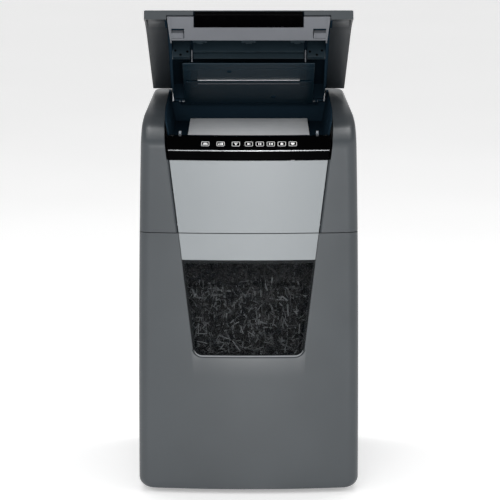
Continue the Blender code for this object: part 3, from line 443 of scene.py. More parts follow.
BODY = moulded("body grey", (0.0385, 0.0452, 0.0508), (0.30, 0.38))
INNER = moulded("inner charcoal", (0.0105, 0.0220, 0.0340), (0.42, 0.55), specular=0.0)
LID_GREY = moulded("lid lining grey", (0.128, 0.135, 0.150), (0.42, 0.52))
# Light grey for the window's lower lip: a painted highlight.
LIP_HIGHLIGHT_GREY = moulded("window lip grey", (0.150, 0.160, 0.170), (0.34, 0.42))
GLOSS = moulded("piano black", (0.0006, 0.0006, 0.0007), (0.06, 0.10), grain=60.0, relief=0.01,
                contrast=0.2, specular=0.02)
SILVER = moulded("silver lacquer", (0.214, 0.232, 0.243), (0.30, 0.38), grain=2600.0, relief=0.05,
                 contrast=0.02)
PLATE_GREY = moulded("plate slate", (0.0045, 0.0170, 0.0280), (0.34, 0.46), specular=0.22)
RECESS_GREY = moulded("recess slate", (0.0090, 0.0170, 0.0230), (0.36, 0.46), specular=0.1)
# Body grey darkened for the lid's wings: painted shade.
WING_SHADE_GREY = moulded("wing lining grey", (0.0175, 0.0210, 0.0245), (0.34, 0.42), specular=0.3)
DARK_STEEL = metal("dark steel", (0.10, 0.11, 0.12), (0.30, 0.40))
NYLON = moulded("natural nylon", (0.62, 0.60, 0.55), (0.40, 0.5))
RUBBER = moulded("foot rubber", (0.018, 0.018, 0.019), (0.75, 0.9), grain=1400.0, relief=0.5)
BOARD = moulded("board green", (0.010, 0.085, 0.035), (0.3, 0.4), grain=300.0, contrast=0.25)
MARK = moulded("key white", (0.80, 0.80, 0.80), (0.3, 0.4), grain=300.0, contrast=0.02)
CHROME = metal("bright trim", (0.34, 0.35, 0.36), (0.22, 0.30), relief=0.05)
SLOT_CHROME = metal("slot edge", (0.86, 0.87, 0.88), (0.30, 0.40), relief=0.05)
STEEL = metal("ground steel", (0.55, 0.55, 0.56), (0.25, 0.38))
ZINC = metal("zinc plate", (0.46, 0.47, 0.49), (0.38, 0.55), fineness=0.4)


def make_smoked_material(name, tint, low_alpha, high_alpha):
    """Plastic tinted dark that lets some of what lies behind it through."""
    mat, tree, shader, places = start_material(name, 0.06, specular=0.06)
    smear = surface_of(tree, places, MOULDED, Grain=40.0)
    vary(tree, shader, smear["Tone"], tint, [c * 1.6 for c in tint], (0.05, 0.09))
    haze = add_node(tree, "MapRange", To_Min=low_alpha, To_Max=high_alpha)
    tree.links.new(smear["Tone"], haze.inputs["Value"])
    tree.links.new(haze.outputs["Result"], shader.inputs["Alpha"])
    return mat


def make_paper_material(name, white, grey):
    mat, tree, shader, places = start_material(name, 0.75, specular=0.25)
    surface = surface_of(tree, places, MOULDED, Grain=700.0, Cloud=60.0)
    vary(tree, shader, surface["Tone"], grey, white, (0.65, 0.85))
    add_bump(tree, shader, surface["Height"], 0.12, 0.0001)
    return mat


def make_shred_material():
    """Paper particles: each takes its own tone at random, most of them dark as painted shade among the
    particles.
    """
    mat, tree, shader, places = start_material("shred paper", 0.8, specular=0.2)
    cell = add_node(tree, "Attribute")
    cell.attribute_name = "tone"
    # Tones run from near black to white paper; the dark end is painted shade.
    ramp = add_ramp(tree, 0.0, 1.0, (0.03, 0.03, 0.035), (0.74, 0.79, 0.82))
    middle = ramp.color_ramp.elements.new(0.45)
    middle.color = (0.16, 0.165, 0.17, 1)
    tree.links.new(cell.outputs["Fac"], ramp.inputs["Fac"])
    tree.links.new(ramp.outputs["Color"], shader.inputs["Base Color"])
    fibres = add_node(tree, "TexNoise", Scale=900.0)
    tree.links.new(places.outputs["Object"], fibres.inputs["Vector"])
    add_bump(tree, shader, fibres.outputs["Fac"], 0.2, 0.0001)
    return mat


WINDOW = make_smoked_material("smoked window", (0.0008, 0.0014, 0.0020), 0.37, 0.43)
TUB = make_smoked_material("smoked tub", (0.006, 0.008, 0.010), 0.26, 0.32)
PAPER = make_paper_material("copy paper", (0.80, 0.82, 0.84), (0.745, 0.765, 0.785))
SHRED = make_shred_material()
# Near-black paper for the heap's core: painted shade between the loose particles.
HEAP_SHADE = make_paper_material("heap core", (0.10, 0.10, 0.10), (0.02, 0.02, 0.02))


# ---------------- upper housing
SHOULDERS = [                     # height, front, drawn in at the sides and rear
    (0.5985, -0.2150, 0.0), (0.603, -0.2146, 0.0), (0.607, -0.2132, 0.0), (0.611, -0.2105, 0.0),
    (0.616, -0.2056, 0.0), (0.6225, -0.1975, 0.0001), (0.629, -0.1890, 0.0003), (0.6325, -0.1832, 0.0006),
    (0.6365, -0.1740, 0.0010), (0.6405, -0.1615, 0.0018), (0.645, -0.1450, 0.0030), (0.6480, -0.1290, 0.0045),
    (0.6500, -0.1100, 0.0062), (0.6514, -0.0850, 0.0083), (SHOULDER, -0.0600, 0.0105),
]


def housing_loops(inset, lift):
    loops = []
    start = SEAM_LOW - (0.01 if inset else 0.0)
    for z, front, drawn in [(start, FRONT, 0.0), (0.500, FRONT, 0.0), (0.550, FRONT, 0.0)] + SHOULDERS:
        half = front_outline(z, front=front, inset=inset)[:-1]
        side = half_width(z) - CORNER
        half.append((side + CORNER - inset, front + bow(side) + CORNER))
        half += rear_outline(z, inset=inset)
        loop = half + [(-x, y) for x, y in reversed(half)][1:-1]
        narrow, shallow = 1 - drawn / half_width(z), 1 - drawn / DEPTH
        height = z - (lift if z > 0.55 else 0.0)
        loops.append([Vector((x * narrow, front + (y - front) * shallow, height)) for x, y in loop])
    return loops


def chamber_half(z):
    return CHAMBER_HALF_FLOOR + (CHAMBER_HALF_TOP - CHAMBER_HALF_FLOOR) * (z - FLOOR_Z) / (SHOULDER - FLOOR_Z)


SCREW_X = 0.150
HOUSING_SCREWS = [(x, z) for z in (0.480, 0.610) for x in (-SCREW_X, SCREW_X)]
REAR_SCREWS = [(x, z) for z in (0.425, 0.050) for x in (-SCREW_X, SCREW_X)]
GRILLE_RADIUS, GRILLE_PITCH, GRILLE_SLOT = 0.027, 0.0058, 0.0018
VENT_TOP, VENT_PITCH, VENT_HIGH, VENT_HALF = 0.400, 0.014, 0.005, 0.060


def screw_seats(places):
    """Round recesses in the rear wall for the screw heads."""
    return [rod((x, REAR - 0.0022, z), (x, REAR + 0.005, z), 0.0052, 32) for x, z in places]


def make_silver(name, low, high, body, replaced):
    levels = [(z, panel_half(z) - 0.0003, 0.0010, RECESS - 0.0003, 0) for z in (low, high)]
    hand_over(new_piece(name, bowed(levels), SILVER, body), replaced, 0.0005, 2)


def make_housing():
    skin = new_piece("housing_skin", through(housing_loops(0.0, 0.0)), BODY, "cabinet")
    notch = [(z, panel_half(z) + 0.0006, -0.010, 0.075, RECESS_FLARE) for z in (PANEL_TOP, 0.670)]
    recess = [(z, panel_half(z) + 0.0006, -0.004, RECESS, RECESS_FLARE + 0.0035)
              for z in (SEAM_LOW - 0.02, PANEL_TOP + 0.0002)]
    low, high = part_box("fan_rotor")
    fan_x, fan_z = (low[0] + high[0]) / 2, (low[2] + high[2]) / 2
    grilles = []
    for row in range(-4, 5):
        rise = row * GRILLE_PITCH
        half = math.sqrt(GRILLE_RADIUS ** 2 - rise ** 2)
        grilles.append(rounded_block((fan_x - half, REAR - 0.02, fan_z + rise - GRILLE_SLOT),
                                     (fan_x + half, REAR + 0.02, fan_z + rise + GRILLE_SLOT), 0.0012))
    tray = [(side * (chamber_half(z) + CHAMBER_WALL + 0.0003), z) for side, z in
            ((-1, TRAY_LOW), (1, TRAY_LOW), (1, TRAY_HIGH), (-1, TRAY_HIGH))]
    low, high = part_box("inlet_socket")
    gap, reach = 0.0003, 0.02
    inlet = block((low[0] - gap, REAR - reach, low[2] - gap), (high[0] + gap, REAR + reach, high[2] + gap))
    carve(skin, [through(housing_loops(WALL, WALL)), bar_of(tray, "Y", -0.155, 0.192), bowed(notch),
                 bowed(recess), inlet] + grilles + screw_seats(HOUSING_SCREWS))
    hand_over(skin, "upper_housing", 0.0013)

    make_silver("silver_upper", SEAM_LOW, PANEL_TOP - 0.0003, "cabinet", "silver_panel")


# ---------------- key strip
def slope_point(x, share, out=0.0):
    """A point on the sloped key strip; share runs from its lower to its upper edge."""
    y0, y1 = FRONT + 0.0018, FRONT + SLOPE_SETBACK
    run = Vector((0, y1 - y0, SLOPE_HIGH - SLOPE_LOW))
    face_out = Vector((0, -run.z, run.y)).normalized()
    return Vector((x, y0 + bow(x), SLOPE_LOW)) + run * share + face_out * out


def make_key_strip():
    black = [
        (PANEL_TOP + 0.0003, 0.0012, 0.0045), (TRIM_LOW - 0.0003, 0.0012, 0.0045),
        (TRIM_LOW - 0.0001, 0.0040, 0.0070), (TRIM_HIGH + 0.0001, 0.0040, 0.0070),
        (SLOPE_LOW - 0.0001, 0.0014, 0.0072), (SLOPE_LOW, 0.0018, 0.0075),
        (SLOPE_HIGH - 0.0030, SLOPE_SETBACK - 0.0038, SLOPE_SETBACK + 0.0020),
        (SLOPE_HIGH - 0.0007, SLOPE_SETBACK - 0.0009, SLOPE_SETBACK + 0.0100),
        (SLOPE_HIGH, SLOPE_SETBACK + 0.0006, SLOPE_SETBACK + 0.0180),
    ]
    levels = [(z, panel_half(z), near, far, 0) for z, near, far in black]
    strip = new_piece("key_strip", bowed(levels), GLOSS, "cabinet")
    strip.data.set_sharp_from_angle(angle=math.radians(6))
    hand_over(strip, "control_panel", 0.0004, 2)
    trim = [(z, panel_half(z), near, 0.0037, 0) for z, near in
            ((TRIM_LOW + 0.0008, 0.0010), (TRIM_LOW + 0.0013, 0.0004), (TRIM_HIGH - 0.0013, 0.0004),
             (TRIM_HIGH - 0.0008, 0.0010))]
    line = new_piece("trim_line", bowed(trim), CHROME, "cabinet")
    hand_over(line, "trim_strip")
    make_icons()


ICON_WIDE, ICON_HIGH, ICON_LINE, ICON_CORNER, ICON_RAISED = 0.0134, 0.0104, 0.0006, 0.0020, 0.00018


def oblong(left, low, right, high):
    return [(left, low), (right, low), (right, high), (left, high)]


GLYPHS = {                                 # outlines on a field from -1 to 1
    "sheets": [oblong(-0.62, -0.45, 0.62, -0.22), [(-0.62, 0.0), (0.62, 0.0), (0.30, 0.45), (-0.30, 0.45)]],
    "bars": [oblong(-0.60, -0.5, -0.38, 0.1), oblong(-0.20, -0.5, 0.02, 0.4), oblong(0.20, -0.5, 0.60, 0.55)],
    "ring": [oblong(-0.45, 0.25, 0.45, 0.5), oblong(-0.14, -0.55, 0.14, 0.12)],
    "forward": [[(-0.35, -0.5), (0.5, 0.0), (-0.35, 0.5)]],
    "pause": [oblong(-0.34, -0.5, -0.12, 0.5), oblong(0.12, -0.5, 0.34, 0.5)],
    "reverse": [[(0.5, -0.5), (0.5, 0.5), (-0.1, 0.0)], oblong(-0.42, -0.5, -0.2, 0.5)],
    "drop": [[(0.0, 0.6), (0.40, 0.0), (0.28, -0.38), (0.0, -0.52), (-0.28, -0.38), (-0.40, 0.0)]],
    "shield": [[(-0.45, 0.5), (0.45, 0.5), (0.45, -0.05), (0.0, -0.55), (-0.45, -0.05)]],
}


def icon_mesh(outlines):
    """A rounded frame and its glyph, lying flat round the origin."""
    bm = bmesh.new()
    ops.create_grid(bm, x_segments=1, y_segments=1, size=0.5)
    ops.scale(bm, vec=(ICON_WIDE, ICON_HIGH, 1), verts=bm.verts)
    ops.bevel(bm, geom=bm.verts[:], offset=ICON_CORNER, segments=4, affect="VERTICES", profile=0.5,
                    material=-1)
    ring = ops.inset_region(bm, faces=bm.faces[:], thickness=ICON_LINE, use_boundary=True,
                                  use_even_offset=True)
    middle = [f for f in bm.faces if f not in ring["faces"]]
    ops.delete(bm, geom=middle, context="FACES")
    for outline in outlines:
        bm.faces.new([bm.verts.new((x * ICON_WIDE / 2, y * ICON_HIGH / 2, 0)) for x, y in outline])
    ops.recalc_face_normals(bm, faces=bm.faces)
    for face in bm.faces:
        if face.normal.z < 0:
            face.normal_flip()
    raised = ops.extrude_face_region(bm, geom=bm.faces[:], use_keep_orig=True)
    top = [g for g in raised["geom"] if isinstance(g, bmesh.types.BMVert)]
    ops.translate(bm, vec=(0, 0, ICON_RAISED), verts=top)
    ops.recalc_face_normals(bm, faces=bm.faces)
    return bm


def make_icons():
    wide_step, narrow_step, first, fourth = 0.0259, 0.0186, -0.0734, 0.0003
    for number, (name, outlines) in enumerate(GLYPHS.items()):
        x = first + wide_step * number if number < 3 else fourth + narrow_step * (number - 3)
        bm = icon_mesh(outlines)
        along = (slope_point(x, 1.0) - slope_point(x, 0.0)).normalized()
        across = (slope_point(x + 0.001, 0.4) - slope_point(x - 0.001, 0.4)).normalized()
        outward = across.cross(along).normalized()
        turn = Matrix((across, along, outward)).transposed().to_4x4()
        place = Matrix.Translation(slope_point(x, 0.42, 0.00012)) @ turn
        ops.transform(bm, matrix=place, verts=bm.verts)
        new_piece(f"key_{name}", bm, MARK, "cabinet", smooth=False)


# ---------------- lower cabinet and bin
LOWER = [SKIRT + 0.0008 + CORNER * (1 - math.cos(math.pi / 2 * i / 9)) for i in range(10)]
LOWER += [0.060, 0.120, 0.200, 0.280, 0.360, 0.420]


def ribbon(path, thickness, top):
    """A wall that follows an open outline up the cabinet."""
    loops = []
    for z in LOWER + [top]:
        scale = skirt_rounding(z)
        outline = path(z, 0.0) + list(reversed(path(z, thickness)))
        loops.append([Vector((x * scale, y, z)) for x, y in outline])
    return through(loops)


def rounded_levels(low, top, grow, near, far):
    """Levels of an opening between the tapering lines, with its lower corners rounded."""
    levels = []
    for i in range(9):
        turn = math.pi / 2 * i / 8
        z = low + WINDOW_CORNER * (1 - math.cos(turn))
        levels.append((z, panel_half(z) + grow - WINDOW_CORNER * (1 - math.sin(turn)), near, far, 0))
    levels.append((top, panel_half(top) + grow, near, far, 0))
    return levels


def chamfer_rim(piece, low, high, width):
    """Slope the rim of the recess where it meets the skin, between two heights."""
    bm = bmesh.new()
    bm.from_mesh(piece.data)
    rim = []
    for edge in bm.edges:
        on_skin = all(abs(v.co.y - FRONT - bow(v.co.x)) < 0.0003 and low < v.co.z < high for v in edge.verts)
        if on_skin and edge.is_manifold and edge.calc_face_angle() > math.radians(50):
            rim.append(edge)
    ops.bevel(bm, geom=rim, offset=width, segments=4, affect="EDGES", profile=0.5, material=-1)
    bm.to_mesh(piece.data)
    bm.free()
    shade(piece.data)


def make_window_highlight_lip():
    """A light lip that follows the window's lower edge round both corners; its light grey is a painted
    highlight on that edge.
    """
    low, wide = WINDOW_BOTTOM - 0.0018, 0.0026
    near, far = 0.0006, 0.0014                     # setbacks of its face and its back
    centre = panel_half(low) + 0.0002 - WINDOW_CORNER
    corner = [(centre, math.radians(12 + 78 * i / 10)) for i in range(11)]
    half = corner + [(centre * (1 - i / 12), math.pi / 2) for i in range(1, 13)]
    path = [(1, *step) for step in half] + [(-1, *step) for step in reversed(half[:-1])]
    loops = []
    for side, middle, a in path:
        loop = []
        inner = WINDOW_CORNER - wide * math.sin(a)
        for reach, depth in ((WINDOW_CORNER, near), (inner, near), (inner, far), (WINDOW_CORNER, far)):
            x = side * (middle + reach * math.cos(a))
            loop.append(Vector((x, FRONT + bow(x) + depth, low + WINDOW_CORNER - reach * math.sin(a))))
        loops.append(loop)
    new_piece("window_highlight_lip", through(loops), LIP_HIGHLIGHT_GREY, "bin")


def make_bin():
    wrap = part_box("bin_front")[1][1]

    def path(z, inset):
        half = front_outline(z, inset=inset, wrap=wrap)
        return [(-x, y) for x, y in reversed(half)] + half[1:]
    skin = new_piece("bin_skin", ribbon(path, WALL + RECESS, SEAM), BODY, "bin")
    recess = rounded_levels(WINDOW_BOTTOM - 0.0020, SEAM + 0.01, 0.0006, -0.004, RECESS)
    opening = rounded_levels(WINDOW_BOTTOM + 0.0020, STRIP_BOTTOM - 0.006, -0.0035, -0.002, 0.030)
    carve(skin, [bowed(recess), bowed(opening)])
    chamfer_rim(skin, WINDOW_BOTTOM - 0.004, WINDOW_BOTTOM + 0.0125, 0.0026)
    hand_over(skin, "bin_front", 0.0008)

    make_silver("silver_lower", STRIP_BOTTOM, SEAM, "bin", "bin_silver_strip")

    pane = rounded_levels(WINDOW_BOTTOM - 0.0017, STRIP_BOTTOM - 0.0006, 0.0002, 0.0016, RECESS - 0.0003)
    window = new_piece("window_pane", bowed(pane), WINDOW, "bin")
    hand_over(window, "bin_window")
    make_window_highlight_lip()
    make_shreds()


def strip_of_paper(bm, layer, spot, length, width, rng, spread, shade=1.0):
    """One bent particle of shredded paper; a shade below 1 darkens its tone as painted shade."""
    yaw, pitch, roll = rng.uniform(0, math.tau), rng.gauss(0, spread), rng.gauss(0, spread)
    turn = Matrix.Rotation(yaw, 3, "Z") @ Matrix.Rotation(pitch, 3, "Y") @ Matrix.Rotation(roll, 3, "X")
    curl = rng.uniform(-0.35, 0.35) * length
    tone = shade * rng.random() ** 1.6
    edges = []
    for i in range(5):
        t = i / 4 - 0.5
        lift = curl * (4 * t * t - 1) / 2
        ends = [turn @ Vector((t * length, side * width / 2, lift)) for side in (-1, 1)]
        edges.append([bm.verts.new(Vector(spot) + end) for end in ends])
    for near, far in zip(edges, edges[1:]):
        face = bm.faces.new((near[0], near[1], far[1], far[0]))
        face[layer] = tone


FRONT_SHREDS, TOP_SHREDS = 3000, 5200


def heap_height(x, y):
    crest = 0.372 + 0.034 * math.exp(-((x - 0.02) / 0.12) ** 2 - ((y + 0.02) / 0.16) ** 2)
    return crest + 0.006 * math.sin(31 * x + 2) * math.cos(27 * y) - 0.010 * abs(y) / 0.19


def make_shreds():
    """The heap in the tub: a bumpy core with loose particles on its top and behind the window; the core's
    near-black and the dimmer particles above the tub's rim are painted shade.
    """
    low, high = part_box("bin_tub")
    inside_x, front_y, rear_y = high[0] - 0.012, low[1] + 0.006, high[1] - 0.006
    level = 0.360
    bm = block((-inside_x, front_y + 0.010, low[2] + 0.004), (inside_x, rear_y, level))
    ops.subdivide_edges(bm, edges=bm.edges[:], cuts=24, use_grid_fill=True)
    for v in bm.verts:
        if v.co.z > level - 0.001:
            v.co.z = heap_height(v.co.x, v.co.y) - 0.012
    new_piece("shred_heap", bm, HEAP_SHADE, "bin")

    rng = random.Random(11)
    bm = bmesh.new()
    layer = bm.faces.layers.float.new("tone")
    # Particles behind the window above the tub's rim get half the tone: painted shade.
    for _ in range(FRONT_SHREDS):
        x, z = rng.uniform(-0.125, 0.125), rng.uniform(0.236, 0.405)
        depth = rng.uniform(0.0, 0.010)
        strip_of_paper(bm, layer, (x, front_y + depth, z), rng.uniform(0.012, 0.028),
                       rng.uniform(0.0016, 0.0028), rng, 0.9, 0.5 if z > 0.366 else 1.0)
    for v in bm.verts:
        v.co.y = max(v.co.y, low[1] + 0.0030)
    new_piece("shreds_front", bm, SHRED, "bin", smooth=False)
    bm = bmesh.new()
    layer = bm.faces.layers.float.new("tone")
    for _ in range(TOP_SHREDS):
        x = rng.uniform(-inside_x + 0.012, inside_x - 0.012)
        y = rng.uniform(front_y + 0.014, rear_y - 0.014)
        spot = (x, y, heap_height(x, y) - 0.010 + rng.uniform(0, 0.010))
        strip_of_paper(bm, layer, spot, rng.uniform(0.012, 0.030), rng.uniform(0.0016, 0.0032), rng, 0.35)
    new_piece("shreds_top", bm, SHRED, "bin", smooth=False)


# ---------------- paper in the chamber
SHEET_WIDTH, SHEET_LENGTH, STACK, LAYERS = 0.210, 0.297, 0.0046, 9


def make_paper():
    front = -0.1565
    rng = random.Random(4)
    for number in range(LAYERS):
        low = FLOOR_Z + 0.0014 + STACK * number / LAYERS
        dx, dy = rng.uniform(-0.0006, 0.0006), rng.uniform(-0.0005, 0.0005)
        bm = bmesh.new()
        ops.create_grid(bm, x_segments=20, y_segments=28, size=0.5)
        for v in bm.verts:
            v.co = Vector((v.co.x * SHEET_WIDTH + dx, front + (v.co.y + 0.5) * SHEET_LENGTH + dy, low))
        ops.solidify(bm, geom=bm.faces[:], thickness=-STACK / LAYERS * 0.86)
        ops.recalc_face_normals(bm, faces=bm.faces)
        new_piece(f"paper_layer_{number}", bm, PAPER, "cabinet")


# ---------------- lid
def shoulder_top(y):
    if y >= SHOULDERS[-1][1]:
        return SHOULDER
    for low, high in zip(SHOULDERS, SHOULDERS[1:]):
        if y <= high[1]:
            return low[0] + (high[0] - low[0]) * (y - low[1]) / (high[1] - low[1])
    return SHOULDER


def lid_loop(reach, half, low, high):
    """A slice across the lid with rounded upper corners."""
    y = HINGE.y - reach
    ease = 0.0024
    right = [(half - ease + ease * math.cos(a), high - ease + ease * math.sin(a))
             for a in [math.pi / 2 * i / 5 for i in range(6)]]
    top = [((half - ease) * (1 - 2 * i / 16), high) for i in range(1, 16)]
    left = [(-x, z) for x, z in reversed(right)]
    outline = [(-half, low), (half, low)] + right + top + left
    return [Vector((x, y, z)) for x, z in outline]


def make_lid_cover():
    top = HINGE.z + LID_TOP
    reaches = [LID_REAR + (LID_LENGTH - LID_REAR) * i / 36 for i in range(37)]
    loops = []
    for reach in reaches:
        share = reach / LID_LENGTH
        half = LID_REAR_HALF + (LID_FRONT_HALF - LID_REAR_HALF) * share
        low = max(shoulder_top(HINGE.y - reach), LID_LOWEST) + 0.0010
        loops.append(lid_loop(reach, half, low, top - 0.0015 * share ** 4))
    cover = new_piece("lid_cover", through(loops), BODY, "lid")
    front_y, rear_y, ceiling = HINGE.y - LID_LENGTH, HINGE.y - LID_REAR, top - LID_SKIN
    cuts = []
    for side in (1, -1):
        near, far = to_side(side, WING_INNER + WALL, LID_REAR_HALF - WALL)
        wing = block((near, front_y + WALL, 0.600), (far, rear_y - WALL, ceiling - 0.0015))
        for v in wing.verts:
            if abs(v.co.x) > 0.160 and v.co.y < 0:
                v.co.x += side * (LID_FRONT_HALF - LID_REAR_HALF)
        cuts.append(wing)
    mouth = INSERT_HALF + 0.0022
    slot_near, slot_far = SLOT_Y - SLOT_WIDE / 2, SLOT_Y + SLOT_WIDE / 2
    cuts.append(block((-WING_INNER, front_y + WALL, 0.600), (WING_INNER, rear_y + 0.01, ceiling)))
    cuts.append(block((-WING_INNER, front_y - 0.01, 0.600), (WING_INNER, front_y + 0.02, HINGE.z - 0.0040)))
    cuts.append(block((-mouth, front_y - 0.01, 0.600), (mouth, front_y + 0.02, ceiling - 0.0001)))
    cuts.append(block((-SLOT_HALF, slot_near, 0.640), (SLOT_HALF, slot_far, 0.670)))
    carve(cover, cuts)
    cover.data.materials.append(INNER)
    cover.data.materials.append(WING_SHADE_GREY)
    for face in cover.data.polygons:
        across, lengthwise, height = abs(face.center.x), face.center.y, face.center.z
        recess = across < WING_INNER + WALL + 0.0002 and lengthwise > front_y + WALL - 0.0002
        face.material_index = int(recess and height < ceiling + 0.0002)
        # Undersides of the wings take the darker wing grey: painted shade.
        if across > WING_INNER + WALL and face.normal.z < -0.5:
            face.material_index = 2
    on_lid(cover)
    hand_over(cover, "lid_shell", 0.0010)
    make_wing_linings()


def make_wing_linings():
    """Curved linings inside the lid's wings, hollow beside the outer wall and clear of the shoulders; their
    darker grey is painted shade.
    """
    for side, name in SIDES:
        loops = []
        start, end = LID_REAR + 0.010, LID_LENGTH - 0.010
        inner = WING_INNER + WALL + 0.0004
        roof = HINGE.z + LID_TOP - LID_SKIN - 0.0020
        for i in range(25):
            reach = start + (end - start) * i / 24
            outer = LID_REAR_HALF + (LID_FRONT_HALF - LID_REAR_HALF) * reach / LID_LENGTH - 0.0055
            rim = max(shoulder_top(HINGE.y - reach), LID_LOWEST) + 0.0018
            ease = min(1.0, (reach - start) / 0.040, (end - reach) / 0.012)
            swell = math.sin(math.pi / 2 * max(ease, 0.0))
            room = max(roof - 0.0012 - rim, 0.0) * swell
            under = []
            for k in range(9):
                t = k / 8
                height = max(roof - 0.0012 - room * (1 - (1 - t) ** 2.2), rim)
                under.append((outer + (inner - outer) * t, height))
            top = max(roof, rim + 0.0006)
            outline = under + [(inner, top), (outer, top)]
            loops.append([Vector((side * x, HINGE.y - reach, z)) for x, z in outline])
        lid_piece(f"wing_lining_{name}", through(loops), WING_SHADE_GREY, 0)


def on_panel(share, out):
    """A point on the sloped lining; out is how far it lies behind the visible face."""
    (r0, a0), (r1, a1) = PANEL_UPPER, PANEL_LOWER
    length = math.hypot(r1 - r0, a1 - a0)
    spot = ahead(r0 + (r1 - r0) * share, a0 + (a1 - a0) * share)
    return spot + Vector((0, -(a1 - a0) / length, (r0 - r1) / length)) * out


def panel_slab(half_top, half_low, start, end, face, back, x=0.0):
    """A slab between two shares of the sloped lining's height."""
    corners = []
    for share, half in ((start, half_top), (end, half_low)):
        near, far = on_panel(share, face), on_panel(share, back)
        corners.append([Vector((x - half, *near.yz)), Vector((x + half, *near.yz)),
                        Vector((x + half, *far.yz)), Vector((x - half, *far.yz))])
    return through(corners)


def lid_bar(points, low, high):
    """A bar across the lid; its section is given as (reach, above) pairs."""
    return bar_of([ahead(reach, above).yz for reach, above in points], "X", low, high)


def lid_block(near, far, x, half):
    """A block in the lid between two (reach, above) corners."""
    return block(ahead(*near, x=x - half), ahead(*far, x=x + half))


def lid_piece(name, bm, mat, edge, replaced=None, cuts=(), body="lid"):
    piece = new_piece(name, bm, mat, body)
    if cuts:
        carve(piece, cuts)
    on_lid(piece)
    hand_over(piece, replaced, edge, 2)


CATCH_X, RIB_X, HOOK_X, CLIP_X = 0.1220, 0.1330, 0.1335, 0.0840


def make_lid_lining():
    mouth = INSERT_HALF + 0.0015
    cuts = [panel_slab(mouth, mouth, -0.10, 0.46, -0.01, 0.01)]
    for side in (1, -1):
        cuts.append(panel_slab(0.0115, 0.0115, 0.50, 0.92, -0.01, 0.01, side * CATCH_X))
    slab = panel_slab(0.1398, 0.1348, 0.0, 1.0, 0.0, 0.0025)
    lid_piece("lid_lining", slab, LID_GREY, 0.0006, "lid_inner_panel", cuts)

    lip = [ahead(LID_LENGTH, -0.0040), ahead(LID_LENGTH, 0.0022), ahead(LID_LENGTH - WALL, 0.0022),
           ahead(LID_LENGTH - WALL, -0.0022), on_panel(0.44, 0.0025), on_panel(0.44, 0.0)]
    insert = bar_of([p.yz for p in lip], "X", -INSERT_HALF, INSERT_HALF)
    lid_piece("lid_insert", insert, GLOSS, 0.0007, "lid_front_insert")
    for side, name in SIDES:
        x = side * CATCH_X
        catch = merged(panel_slab(0.0104, 0.0104, 0.68, 0.89, -0.0012, 0.0085, x),
                       panel_slab(0.0080, 0.0080, 0.73, 0.84, -0.0020, -0.0010, x))
        lid_piece(f"catch_{name}", catch, LID_GREY, 0.0005, f"lid_catch_{name}")
        pocket = panel_slab(0.0113, 0.0113, 0.51, 0.91, 0.0090, 0.0098, x)
        lid_piece(f"catch_pocket_{name}", pocket, INNER, 0)
        edge = panel_slab(0.0006, 0.0006, 0.05, 0.98, -0.0007, 0.0, side * RIB_X)
        lid_piece(f"lining_rib_{name}", edge, LID_GREY, 0.0003)
        hook = merged(lid_block((0.2950, -0.0300), (0.2900, -0.0200), side * HOOK_X, 0.0012),
                      lid_block((0.2900, -0.0300), (0.2850, -0.0265), side * HOOK_X, 0.0012))
        lid_piece(f"lining_hook_{name}", hook, LID_GREY, 0.0003)
    for number, x in enumerate((-CLIP_X, 0.0, CLIP_X)):
        clip = merged(lid_block((0.2950, -0.0312), (0.2900, -0.0280), x, 0.0120),
                      lid_block((0.2900, -0.0312), (0.2840, -0.0150), x, 0.0050),
                      lid_block((0.2900, -0.0300), (0.2860, -0.0220), x - 0.0105, 0.0015),
                      lid_block((0.2900, -0.0300), (0.2860, -0.0220), x + 0.0105, 0.0015))
        lid_piece(f"lining_clip_{number + 1}", clip, RECESS_GREY, 0.0006)


def make_lid_inside():
    """The beam, fins, brackets and ribs in the dark recess between the lining and the pressure plate."""
    ceiling = LID_TOP - LID_SKIN - 0.0002
    front = [(0.252, ceiling), (0.250, -0.0300), (0.243, -0.0300), (0.241, ceiling)]
    behind = [(0.2405, ceiling), (0.2370, -0.0375), (0.2350, -0.0375), (0.2340, ceiling)]
    beam = merged(lid_bar(front, -0.0960, 0.0960), lid_bar(behind, -0.0960, 0.0960))
    lid_piece("recess_beam", beam, RECESS_GREY, 0.0008)
    fin_section = [(0.244, -0.024), (0.244, -0.030), (0.2275, -0.0395), (0.2260, -0.0395), (0.2260, -0.024)]
    for side, name in SIDES:
        fin = lid_bar(fin_section, side * 0.0985 - 0.0010, side * 0.0985 + 0.0010)
        lid_piece(f"recess_fin_{name}", fin, LID_GREY, 0.0003)
        near, far = to_side(side, 0.1012, 0.1325)
        bracket = rounded_block(ahead(0.247, -0.0385, near), ahead(0.234, ceiling, far), 0.0015)
        lid_piece(f"recess_bracket_{name}", bracket, RECESS_GREY, 0)
        for number, (drop, out) in enumerate(((0.0290, 0.1060), (0.0350, 0.1180), (0.0270, 0.1270))):
            spot = ahead(0.2470, -drop, side * out)
            boss = rod(spot, spot - Vector((0, 0.0008, 0)), 0.0022, 24, 0.0018)
            lid_piece(f"recess_boss_{name}_{number + 1}", boss, GLOSS, 0.0003)
    for number in range(7):
        x = -0.105 + 0.035 * number
        rib = lid_block((0.090, -0.0030), (0.040, LID_TOP - LID_SKIN), x, 0.0008)
        lid_piece(f"rear_rib_{number + 1}", rib, INNER, 0.0003)


PLATE_HALF, PLATE_FRONT, PLATE_REAR, STRIP_HALF = 0.115, 0.220, 0.0275, 0.090


def plate_under(reach, above=0.0):
    slope = (0.0410 - 0.0331) / (PLATE_FRONT - PLATE_REAR)
    return ahead(reach, -0.0331 - slope * (reach - PLATE_REAR) + above)


def plate_box(near, far, face, back, low, high):
    """A bar across the plate between two reaches and two heights above its underside."""
    section = ((near, face), (far, face), (far, back), (near, back))
    return bar_of([plate_under(reach, above).yz for reach, above in section], "X", low, high)


